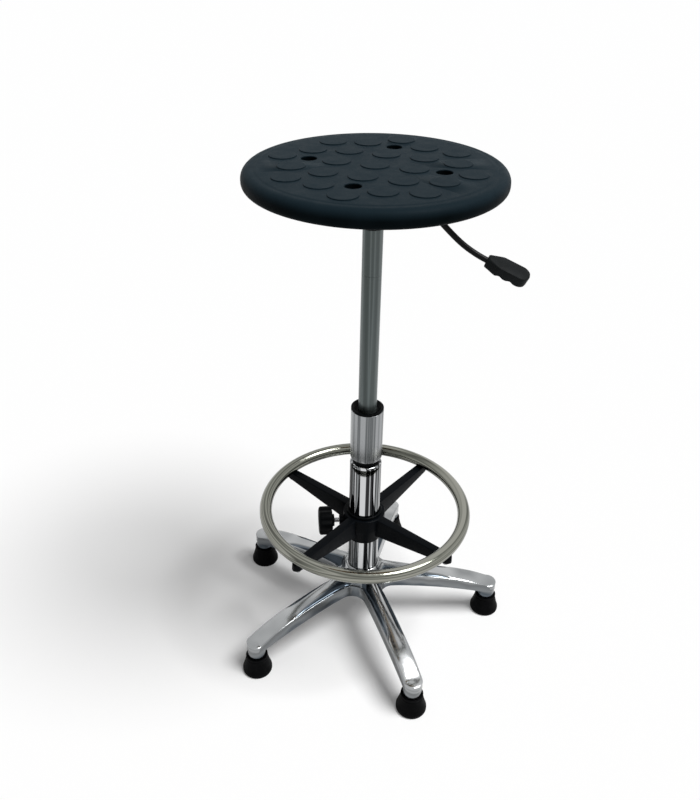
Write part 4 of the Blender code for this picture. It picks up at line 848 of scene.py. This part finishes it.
def make_column():
    black, dark, middle, light = PAINTED_REFLECTION_BLACK, PAINTED_REFLECTION_DARK, PAINTED_REFLECTION_MIDDLE, CHROME_LIGHT
    # Upright bands of painted reflection, with crisp black stripes
    tones = [(0.28, middle), (0.34, light), (0.375, black), (0.425, black), (0.44, middle), (0.47, middle)]
    tones += [(0.485, black), (0.52, dark), (0.535, light), (0.57, middle), (0.585, black), (0.64, dark)]
    tones += [(0.66, light)]
    chrome = plated("column_chrome", light, 0.035, 0.03, tones, 75.0, 0.00004)
    floor_hole, floor_top = 0.0045, COLUMN_FOOT + 0.004
    profile = [
        (COLUMN_NECK, COLUMN_TOP),
        (COLUMN_RADIUS, COLUMN_TOP, LIP_ROUNDING),
        (COLUMN_RADIUS, COLUMN_FOOT, 0.0006),
        (floor_hole, COLUMN_FOOT),
        (floor_hole, floor_top),
        (COLUMN_BORE, floor_top),
        (COLUMN_BORE, COLUMN_TOP - 0.0045),
        (COLUMN_NECK, COLUMN_TOP - 0.00225),
    ]
    column = turned("lower_column", profile, chrome, segments=128, steps=10)
    dress(column, "stand", "column_chrome", "column")


def make_sleeve():
    # Softer upright bands of painted reflection on the duller sleeve
    tones = [(0.32, PAINTED_REFLECTION_MIDDLE), (0.42, (0.10, 0.105, 0.11)), (0.50, (0.17, 0.18, 0.185))]
    tones += [(0.60, (0.33, 0.34, 0.35))]
    dull = plated("sleeve_chrome", PAINTED_REFLECTION_MIDDLE, 0.16, 0.12, tones, 160.0, 0.00008)
    profile = [
        (COLUMN_BORE + 0.001, SLEEVE_TOP, 0.0003),
        (COLUMN_RADIUS, SLEEVE_TOP - 0.0008, 0.0005),
        (COLUMN_RADIUS, SLEEVE_FOOT, LIP_ROUNDING),
        (COLUMN_NECK, SLEEVE_FOOT),
        (COLUMN_NECK, SLEEVE_FOOT + 0.00225),
        (COLUMN_BORE, SLEEVE_FOOT + 0.0045),
        (COLUMN_BORE, SLEEVE_TOP, 0.0002),
    ]
    sleeve = turned("upper_sleeve", profile, dull, segments=128, steps=10)
    dress(sleeve, "stand", "column_chrome", "column_sleeve")


def make_bush_and_cap():
    black = moulded_plastic("bush_plastic", (0.0016, 0.0020, 0.0024), 0.36)
    wide, narrow, bore, rim = COLUMN_BORE - GAP, COLUMN_NECK - GAP, 0.0145, 0.0249
    foot = 0.3000
    profile = [
        (rim, BUSH_TOP, 0.0009),
        (rim, SLEEVE_TOP + GAP, 0.0003),
        (wide, SLEEVE_TOP + GAP),
        (wide, SLEEVE_FOOT + 0.0048),
        (narrow, SLEEVE_FOOT + 0.00255),
        (narrow, COLUMN_TOP - 0.00255),
        (wide, COLUMN_TOP - 0.0048),
        (wide, foot),
        (bore, foot),
        (bore, BUSH_TOP - 0.005, 0.0004),
        (bore + 0.002, BUSH_TOP - 0.005, 0.0008),
        (wide - 0.0022, BUSH_TOP - 0.0016, 0.0010),
        (wide - 0.0004, BUSH_TOP, 0.0006),
    ]
    bush = turned("bush_moulding", profile, black, steps=4)
    dress(bush, "stand", "black_plastic", "guide_bush")
    outer, hole, wall_top, foot = 0.0280, 0.0080, HUB_FOOT - GAP, 0.0540
    profile = [
        (outer, wall_top),
        (outer, foot, 0.003),
        (hole, foot, 0.0005),
        (hole, foot + 0.003),
        (HUB_BORE, foot + 0.003),
        (HUB_BORE, wall_top),
    ]
    cap = turned("cap_moulding", profile, black, steps=5)
    dress(cap, "stand", "black_plastic", "column_cap")


def make_gas_tube():
    top, bottom, seam = 0.7512, 0.335, 0.6465
    outer, inner, mouth, pin = 0.014, 0.012, 0.0106, 0.0045
    profile = [
        (0.0131, top, 0.001),
        (outer, top - 0.030, 0.02),
        (outer, seam + 0.0006),
        (outer - 0.00025, seam + 0.0002),
        (outer - 0.00025, seam - 0.0002),
        (outer, seam - 0.0006),
        (outer, bottom, 0.0015),
        (mouth, bottom, 0.0003),
        (mouth, bottom + 0.0015),
        (inner, bottom + 0.0015),
        (inner, top - 0.010),
        (pin, top - 0.010),
        (pin, top),
    ]
    tube = turned("gas_tube", profile, tube_coat(), steps=5, angle=25.0)
    dress(tube, "seat_unit", "tube_grey", "gas_cylinder")


# Foot ring, spider and clamp


SPOKE_ROOT_WIDTH = 0.0170
SPOKE_TIP_WIDTH = 0.0145
SPOKE_ROOT_DEPTH = 0.035
SPOKE_TIP_DEPTH = 0.0125
SPOKE_END = 0.0075
SPOKE_ROUNDING = 0.0016
HUB_OUTER = 0.0340
STUD_START = 0.0305
STUD_END = 0.0670
THREAD_PITCH = 0.00125
KNOB_START = 0.053
KNOB_END = 0.075
KNOB_RADIUS = 0.0235
KNOB_LOBES = 7


def ring_tube(name, thickness, material, steps, around):
    section = []
    for x, z in turn_steps(around):
        section.append(Vector((RING_RADIUS + thickness * x, 0, RING_HEIGHT + thickness * z)))
    rings = []
    for i in range(steps):
        turn = Matrix.Rotation(math.tau * i / steps, 4, "Z")
        rings.append([turn @ point for point in section])
    return loft(name, rings, material, loop=True)


def make_ring():
    ring = ring_tube("ring_tube", RING_TUBE_RADIUS, wrapped_chrome(), 192, 40)
    ring.data.transform(at_column())
    dress(ring, "foot_rest", "ring_chrome", "foot_ring")


def spoke_section(x, half, top, bottom, rim):
    """A box with rounded edges across the spoke at x, a little narrower at its top."""
    section = []
    for corner, (side, upper) in enumerate(((1, True), (-1, True), (-1, False), (1, False))):
        draft = 0.0006 if upper else 0.0
        centre_y = side * (half - draft - rim)
        centre_z = top - rim if upper else bottom + rim
        for step in range(6):
            angle = math.radians(90.0 * corner + 90.0 * step / 5)
            section.append((x, centre_y + rim * math.cos(angle), centre_z + rim * math.sin(angle)))
    return section


def spoke(name, azimuth, material):
    """One spoke: a tapered bar with rounded edges, level on top and deepest at the hub."""
    inner, outer = SPIDER_BORE + 0.0019, RING_RADIUS + 0.0098
    straight_end = outer - SPOKE_END
    top = SPOKE_TOP - 0.00075
    stations = [inner + (straight_end - inner) * i / 14 for i in range(15)]
    stations += [straight_end + SPOKE_END * sine for sine, _ in quarter_steps(6)[1:]]
    rings = []
    for x in stations:
        share = (x - inner) / (outer - inner)
        past = max(x - straight_end, 0.0) / SPOKE_END
        width = SPOKE_ROOT_WIDTH + (SPOKE_TIP_WIDTH - SPOKE_ROOT_WIDTH) * share
        depth = SPOKE_ROOT_DEPTH + (SPOKE_TIP_DEPTH - SPOKE_ROOT_DEPTH) * share
        half = width / 2 * math.sqrt(max(1.0 - past * past, 0.04))
        rings.append(spoke_section(x, half, top, top - depth, min(SPOKE_ROUNDING, half * 0.8)))
    obj = loft(name, rings, material)
    obj.data.transform(out_at(azimuth))
    return obj


def make_spider():
    black = moulded_plastic("spider_plastic", (0.0014, 0.0020, 0.0028), 0.34)
    profile = [
        (HUB_OUTER, SPOKE_TOP, 0.002),
        (HUB_OUTER, 0.2062, 0.008),
        (0.0290, SPIDER_BOTTOM, 0.002),
        (SPIDER_BORE, SPIDER_BOTTOM),
        (SPIDER_BORE, SPOKE_TOP),
    ]
    hub = turned("spider_frame", profile, black, place=AT_ORIGIN)
    arms = [spoke(f"spoke_{i}", azimuth, black) for i, azimuth in enumerate(SPOKE_AZIMUTHS)]
    clamp = out_at(CLAMP_AZIMUTH, height=CLAMP_HEIGHT) @ LYING
    start, end = SPIDER_BORE + 0.0019, 0.041
    profile = [(0, end), (0.0090, end, 0.0010), (0.0095, start), (0, start)]
    boss = turned("boss", profile, black, segments=48, steps=4, place=clamp)
    joined(hub, arms + [boss], "UNION")
    saddle = ring_tube("saddle", RING_TUBE_RADIUS + GAP, black, 120, 32)
    cutters = [saddle, drill(ROD_BORE, 0, 0.09, black, 32, clamp)]
    for azimuth in SPOKE_AZIMUTHS:
        cutters.append(drill(0.0028, 0.18, 0.24, black, 24, out_at(azimuth, RING_RADIUS)))
    joined(hub, cutters)
    hub.data.transform(at_column())
    parts = [f"{part}_{i}" for part in ("hub_quarter", "spoke") for i in range(1, 5)]
    dress(hub, "foot_rest", "black_plastic", *parts)


def make_liner():
    """The nylon sleeve in the hub's bore, with a collar on its top."""
    outer, bore, collar = SPIDER_BORE - GAP, COLUMN_RADIUS + GAP, 0.02875
    top = SPOKE_TOP + 0.0043
    profile = [
        (collar, top, 0.0016),
        (collar, SPOKE_TOP + GAP, 0.0006),
        (outer, SPOKE_TOP + GAP),
        (outer, SPIDER_BOTTOM, 0.0005),
        (bore, SPIDER_BOTTOM, 0.0004),
        (bore, top, 0.0006),
    ]
    nylon = moulded_plastic("liner_nylon", (0.0016, 0.0020, 0.0025), 0.32)
    liner = turned("collar_liner", profile, nylon, steps=5)
    dress(liner, "foot_sleeve", "black_plastic", "foot_liner")


def make_stud():
    """The clamp's stud, with a real thread that fades out at both of its ends."""
    steel = machined("stud_steel", (0.62, 0.62, 0.63), 0.2)
    around, per_turn = 40, 10
    length = STUD_END - STUD_START
    total = int(length / THREAD_PITCH * per_turn)
    rings = []
    for i in range(total + 1):
        z = STUD_START + length * i / total
        fade_in = smooth_share(z, STUD_START, STUD_START + 0.0008)
        depth = fade_in * (1 - smooth_share(z, STUD_END - 0.0008, STUD_END))
        ring = []
        for j, (x, y) in enumerate(turn_steps(around)):
            phase = ((z - STUD_START) / THREAD_PITCH - j / around) % 1.0
            radius = 0.0040 - 0.0006 * abs(2.0 * phase - 1.0) - 0.0005 * (1.0 - depth)
            ring.append((radius * x, radius * y, z))
        rings.append(ring)
    stud = loft("threaded_stud", rings, steel, 50.0)
    stud.data.transform(at_column(CLAMP_AZIMUTH, height=CLAMP_HEIGHT) @ LYING)
    dress(stud, "clamp", "bright_steel", "clamp_stud")


def make_knob():
    """The clamp's knob: seven rounded lobes, with a neck towards the hub."""
    black = moulded_plastic("knob_plastic", (0.0015, 0.0018, 0.0022), 0.40)
    inner_edge, outer_edge = 0.0028, 0.0040
    arc = quarter_steps(8)
    profile = [(inner_edge * (1 - sine), KNOB_START + inner_edge * (1 - cosine)) for sine, cosine in arc]
    profile += [(outer_edge * (1 - cosine), KNOB_END - outer_edge * (1 - sine)) for sine, cosine in arc]
    profile += [(0.0090, KNOB_END - 0.0002), (0.0110, KNOB_END - 0.0012)]
    steps = KNOB_LOBES * 24
    rings = []
    for inset, z in profile:
        ring = []
        for step, (x, y) in enumerate(turn_steps(steps)):
            wave = 0.5 - 0.5 * math.cos(KNOB_LOBES * math.tau * step / steps)
            lobe = 0.0022 * wave**2.2 * max(1.0 - inset / 0.009, 0.0)
            reach = KNOB_RADIUS - lobe - inset
            ring.append((reach * x, reach * y, z))
        rings.append(ring)
    knob = loft("knob_moulding", rings, black, MOULDING_SHARP)
    neck_start = KNOB_START - 0.0035
    profile = [(0, 0.058), (0.0100, 0.058), (0.0100, neck_start, 0.0008), (0, neck_start)]
    neck = turned("neck", profile, black, segments=64, place=AT_ORIGIN)
    joined(knob, [neck], "UNION", MOULDING_SHARP)
    socket = drill(ROD_BORE, 0.04, STUD_END + GAP, black, 32)
    joined(knob, [socket], angle=MOULDING_SHARP)
    knob.data.transform(at_column(CLAMP_AZIMUTH, height=CLAMP_HEIGHT) @ LYING)
    dress(knob, "clamp", "black_plastic", "clamp_knob")


# Lever


ROD_RADIUS = 0.004
LEVER_SLOPE = 22.0
LEVER_NECK = Vector((0.1530 - PIVOT_RADIUS, 0.0, -0.0757))
GRIP_LEAN = 18.0
GRIP_LENGTH = 0.0590
GRIP_HALF = 0.01225
GRIP_NECK = 0.00625
GRIP_THICKNESS = 0.0155
GRIP_EDGE = 0.0016
GRIP_FLARE = 0.018
GRIP_SOCKET = 0.0203
SCALLOPS = (0.023, 0.0385)
SCALLOP_HALF = 0.0064
SCALLOP_DEPTH = 0.0022


def downwards(degrees):
    slope = math.radians(degrees)
    return Vector((math.cos(slope), 0.0, -math.sin(slope)))


def lever_points():
    """The bar's points from its pivot, with their directions and their handles' lengths back and ahead."""
    level = downwards(0.0)
    along = downwards(LEVER_SLOPE)
    return (
        (Vector((-PIVOT_RADIUS - 0.006, 0, 0)), level, 0.010, 0.010),
        (Vector((0.050 - PIVOT_RADIUS, 0, 0)), level, 0.010, 0.012),
        (Vector((0.120 - PIVOT_RADIUS, 0, -0.0575)), downwards(36.0), 0.030, 0.012),
        (LEVER_NECK, along, 0.012, 0.006),
        (LEVER_NECK + along * 0.020, along, 0.006, 0.006),
    )


def make_lever():
    paint = painted_steel("lever_paint", (0.0018, 0.0020, 0.0024), 0.32)
    curve = bpy.data.curves.new("lever_bar", "CURVE")
    curve.dimensions = "3D"
    curve.bevel_depth = ROD_RADIUS
    curve.bevel_resolution = 8
    curve.resolution_u = 20
    curve.use_fill_caps = True
    spline = curve.splines.new("BEZIER")
    points = lever_points()
    spline.bezier_points.add(len(points) - 1)
    for bezier, (point, direction, back, ahead) in zip(spline.bezier_points, points):
        bezier.co = point
        bezier.handle_left = point - direction * back
        bezier.handle_right = point + direction * ahead
    guide = bpy.data.objects.new("lever_bar_curve", curve)
    bpy.context.scene.collection.objects.link(guide)
    bm = bmesh.new()
    bm.from_mesh(evaluated_mesh(guide))
    bpy.data.objects.remove(guide, do_unlink=True)
    bmesh.ops.remove_doubles(bm, verts=bm.verts, dist=0.000001)
    bar = mesh_object("lever_bar", bm, paint)
    place = at_column(LEVER_AZIMUTH, PIVOT_RADIUS, LEVER_LINE)
    bar.data.transform(place)
    dress(bar, "lever", "black_steel", "lever_rod")
    slope = Matrix.Rotation(math.radians(LEVER_SLOPE), 4, "Y")
    lean = Matrix.Rotation(math.radians(GRIP_LEAN), 4, "X")
    make_handle(place @ Matrix.Translation(LEVER_NECK) @ slope @ lean)


def scallop(x):
    """How far a finger scallop rises into the grip's underside at x."""
    away = min(abs(x - centre) for centre in SCALLOPS)
    if away >= SCALLOP_HALF:
        return 0.0
    return SCALLOP_DEPTH * (math.cos(math.pi * away / SCALLOP_HALF) * 0.5 + 0.5)


def grip_section(x):
    """The grip's outline at x: a flat plateau, sloping shoulders, upright sides and rounded lower edges."""
    past = max(x - (GRIP_LENGTH - GRIP_HALF), 0.0) / GRIP_HALF
    widen = smooth_share(x, 0.0, GRIP_FLARE) * 0.6 + min(x / GRIP_FLARE, 1.0) * 0.4
    body = GRIP_NECK + (GRIP_HALF - GRIP_NECK) * widen
    body = max(body * math.sqrt(max(1.0 - past**2, 0.0)), 0.0004)
    half_height = GRIP_THICKNESS / 2 * (1.0 - 0.12 * smooth_share(-x, -GRIP_EDGE, 0.0))
    end_drop = GRIP_EDGE * 0.9 * smooth_share(past, 0.86, 1.0)
    top = half_height - end_drop
    bottom = scallop(x) + end_drop - half_height
    plateau = min(body - 0.0009, 0.0022 + (GRIP_HALF - 0.0031) * min(x / 0.0195, 1.0))
    plateau = max(min(plateau, body - 0.0002), 0.0002)
    slope = body - plateau
    shoulder = slope * 0.85
    rim = min(GRIP_EDGE, body * 0.8)
    side = [
        (plateau, top),
        (plateau + slope * 0.45, top - shoulder * 0.22),
        (plateau + slope * 0.85, top - shoulder * 0.62),
        (body, top - shoulder * 1.1 - 0.0006),
    ]
    side += [(body - rim * (1 - cosine), bottom + rim * (1 - sine)) for sine, cosine in quarter_steps(4)]
    return [(x, y, z) for y, z in side] + [(x, -y, z) for y, z in reversed(side)]


def make_handle(place):
    plastic = moulded_plastic("handle_plastic", (0.0092, 0.0106, 0.0112), 0.44)
    straight = GRIP_LENGTH - GRIP_HALF
    stations = [0.0, 0.0006, GRIP_EDGE]
    stations += [GRIP_EDGE + (straight - GRIP_EDGE) * i / 34 for i in range(1, 35)]
    stations += [straight + GRIP_HALF * sine for sine, _ in quarter_steps(16)[1:]]
    grip = loft("lever_grip", [grip_section(x) for x in stations], plastic, MOULDING_SHARP)
    socket = drill(ROD_BORE, -0.01, GRIP_SOCKET, plastic, 32, LYING)
    joined(grip, [socket], angle=MOULDING_SHARP)
    grip.data.transform(place)
    dress(grip, "lever", "black_plastic", "lever_handle")


# What stays as the CAD has it


def repaint_cad():
    black_steel = painted_steel("pan_paint", (0.005, 0.005, 0.006), 0.42)
    repaint(black_steel, "seat_pan", "taper_socket")
    repaint(plywood(), "seat_board")
    bright = machined("bright_steel", (0.55, 0.55, 0.56), 0.2)
    repaint(bright, "lever_pivot_pin", "release_pin", "piston_rod", "thrust_race_lower", "thrust_race_upper")
    repaint(bright, "retaining_clip", *[f"glide_stem_{i}" for i in range(1, 6)])
    repaint(machined("zinc_steel", (0.34, 0.34, 0.35), 0.34), *[f"ring_screw_{i}" for i in range(1, 5)])
    repaint(machined("turned_brass", (0.50, 0.38, 0.16), 0.3), "piston", "cylinder_gland", "thrust_bearing")
    repaint(rubber("bumper_rubber"), "bumper")
    repaint(moulded_plastic("pad_nylon", (0.02, 0.02, 0.02), 0.5), "clamp_shoe")


# Studio


# The photograph's camera, in axes of its own that are turned from the part's by PHOTO_TURN
PHOTO_TURN = -148.21
CAMERA_YAW = -3.11
CAMERA_PITCH = 32.36
CAMERA_ROLL = 0.14
CAMERA_PLACE = (0.0, -1.0314, 1.0959)
FOCAL_PIXELS = 811.49
PHOTO_LONG_SIDE_PIXELS = 800
SENSOR_MM = 36

# Light and backdrop
SUN_STRENGTH = 3.4
SUN_SOFTNESS = 31.0
SUN_DIRECTION = (0.40, -0.11, 0.78)
WORLD_LIGHT = 0.10
FLOOR_GREY = 0.80
FLOOR_GLOW = 0.15
FLOOR_REACH = 30.0


def photo_frame():
    """The turn from the photograph's axes to the part's."""
    return at_column(PHOTO_TURN)


def make_camera():
    yaw, pitch, roll = (math.radians(angle) for angle in (CAMERA_YAW, CAMERA_PITCH, CAMERA_ROLL))
    forward = Vector((math.sin(yaw) * math.cos(pitch), math.cos(yaw) * math.cos(pitch), -math.sin(pitch)))
    right = Vector((math.cos(yaw), -math.sin(yaw), 0.0))
    up = right.cross(forward)
    leaned_right = right * math.cos(roll) + up * math.sin(roll)
    leaned_up = up * math.cos(roll) - right * math.sin(roll)
    stand = Matrix((leaned_right, leaned_up, -forward)).transposed().to_4x4()
    stand.translation = CAMERA_PLACE
    data = bpy.data.cameras.new("photo_camera")
    data.lens = FOCAL_PIXELS / PHOTO_LONG_SIDE_PIXELS * SENSOR_MM
    data.shift_x = 0.02439
    data.shift_y = -0.00155
    data.clip_start = 0.01
    camera = bpy.data.objects.new("photo_camera", data)
    bpy.context.scene.collection.objects.link(camera)
    camera.matrix_world = photo_frame() @ stand
    bpy.context.scene.camera = camera


def backdrop_rays(tree):
    """1 for a ray that shows the backdrop: the camera's own, and one that metal or glass sends on."""
    rays = add_node(tree, "LightPath").outputs
    seen = maths(tree, "MAXIMUM", rays["Is Camera Ray"], rays["Is Glossy Ray"])
    return maths(tree, "MAXIMUM", seen, rays["Is Transmission Ray"])


def floor_material():
    material = bpy.data.materials.new("studio_floor")
    material.use_nodes = True
    tree = material.node_tree
    tree.nodes.clear()
    diffuse = add_node(tree, "BsdfDiffuse", Color=(FLOOR_GREY, FLOOR_GREY, FLOOR_GREY, 1.0))
    glow = add_node(tree, "Emission", Strength=maths(tree, "MULTIPLY", backdrop_rays(tree), FLOOR_GLOW))
    both = add_node(tree, "AddShader")
    feed(tree, both.inputs[0], diffuse.outputs[0])
    feed(tree, both.inputs[1], glow.outputs[0])
    add_node(tree, "OutputMaterial", Surface=both.outputs[0])
    return material


def make_floor():
    corners = [(x * FLOOR_REACH, y * FLOOR_REACH, 0) for x, y in quarter_turns(-1, -1)]
    mesh = bpy.data.meshes.new("studio_floor")
    mesh.from_pydata(corners, [], [(0, 1, 2, 3)])
    mesh.materials.append(floor_material())
    floor = bpy.data.objects.new("studio_floor", mesh)
    bpy.context.scene.collection.objects.link(floor)


def make_world():
    world = bpy.data.worlds.new("studio")
    bpy.context.scene.world = world
    world.use_nodes = True
    tree = world.node_tree
    background = tree.nodes["Background"].inputs
    background["Color"].default_value = (1, 1, 1, 1)
    strength = add_node(tree, "MapRange", Value=backdrop_rays(tree), To_Min=WORLD_LIGHT, To_Max=1.0)
    feed(tree, background["Strength"], strength.outputs["Result"])


def make_key():
    data = bpy.data.lights.new("soft_key", "SUN")
    data.energy = SUN_STRENGTH
    data.angle = math.radians(SUN_SOFTNESS)
    key = bpy.data.objects.new("soft_key", data)
    bpy.context.scene.collection.objects.link(key)
    towards = photo_frame().to_3x3() @ Vector(SUN_DIRECTION)
    key.rotation_euler = towards.to_track_quat("Z", "Y").to_euler()


def make_studio():
    bpy.context.scene.view_settings.view_transform = "Standard"
    make_camera()
    make_world()
    make_key()
    make_floor()


make_seat()
make_seat_screws()
make_base()
make_glides()
make_column()
make_sleeve()
make_bush_and_cap()
make_gas_tube()
make_ring()
make_spider()
make_liner()
make_stud()
make_knob()
make_lever()
repaint_cad()
make_studio()

bpy.context.view_layer.update()
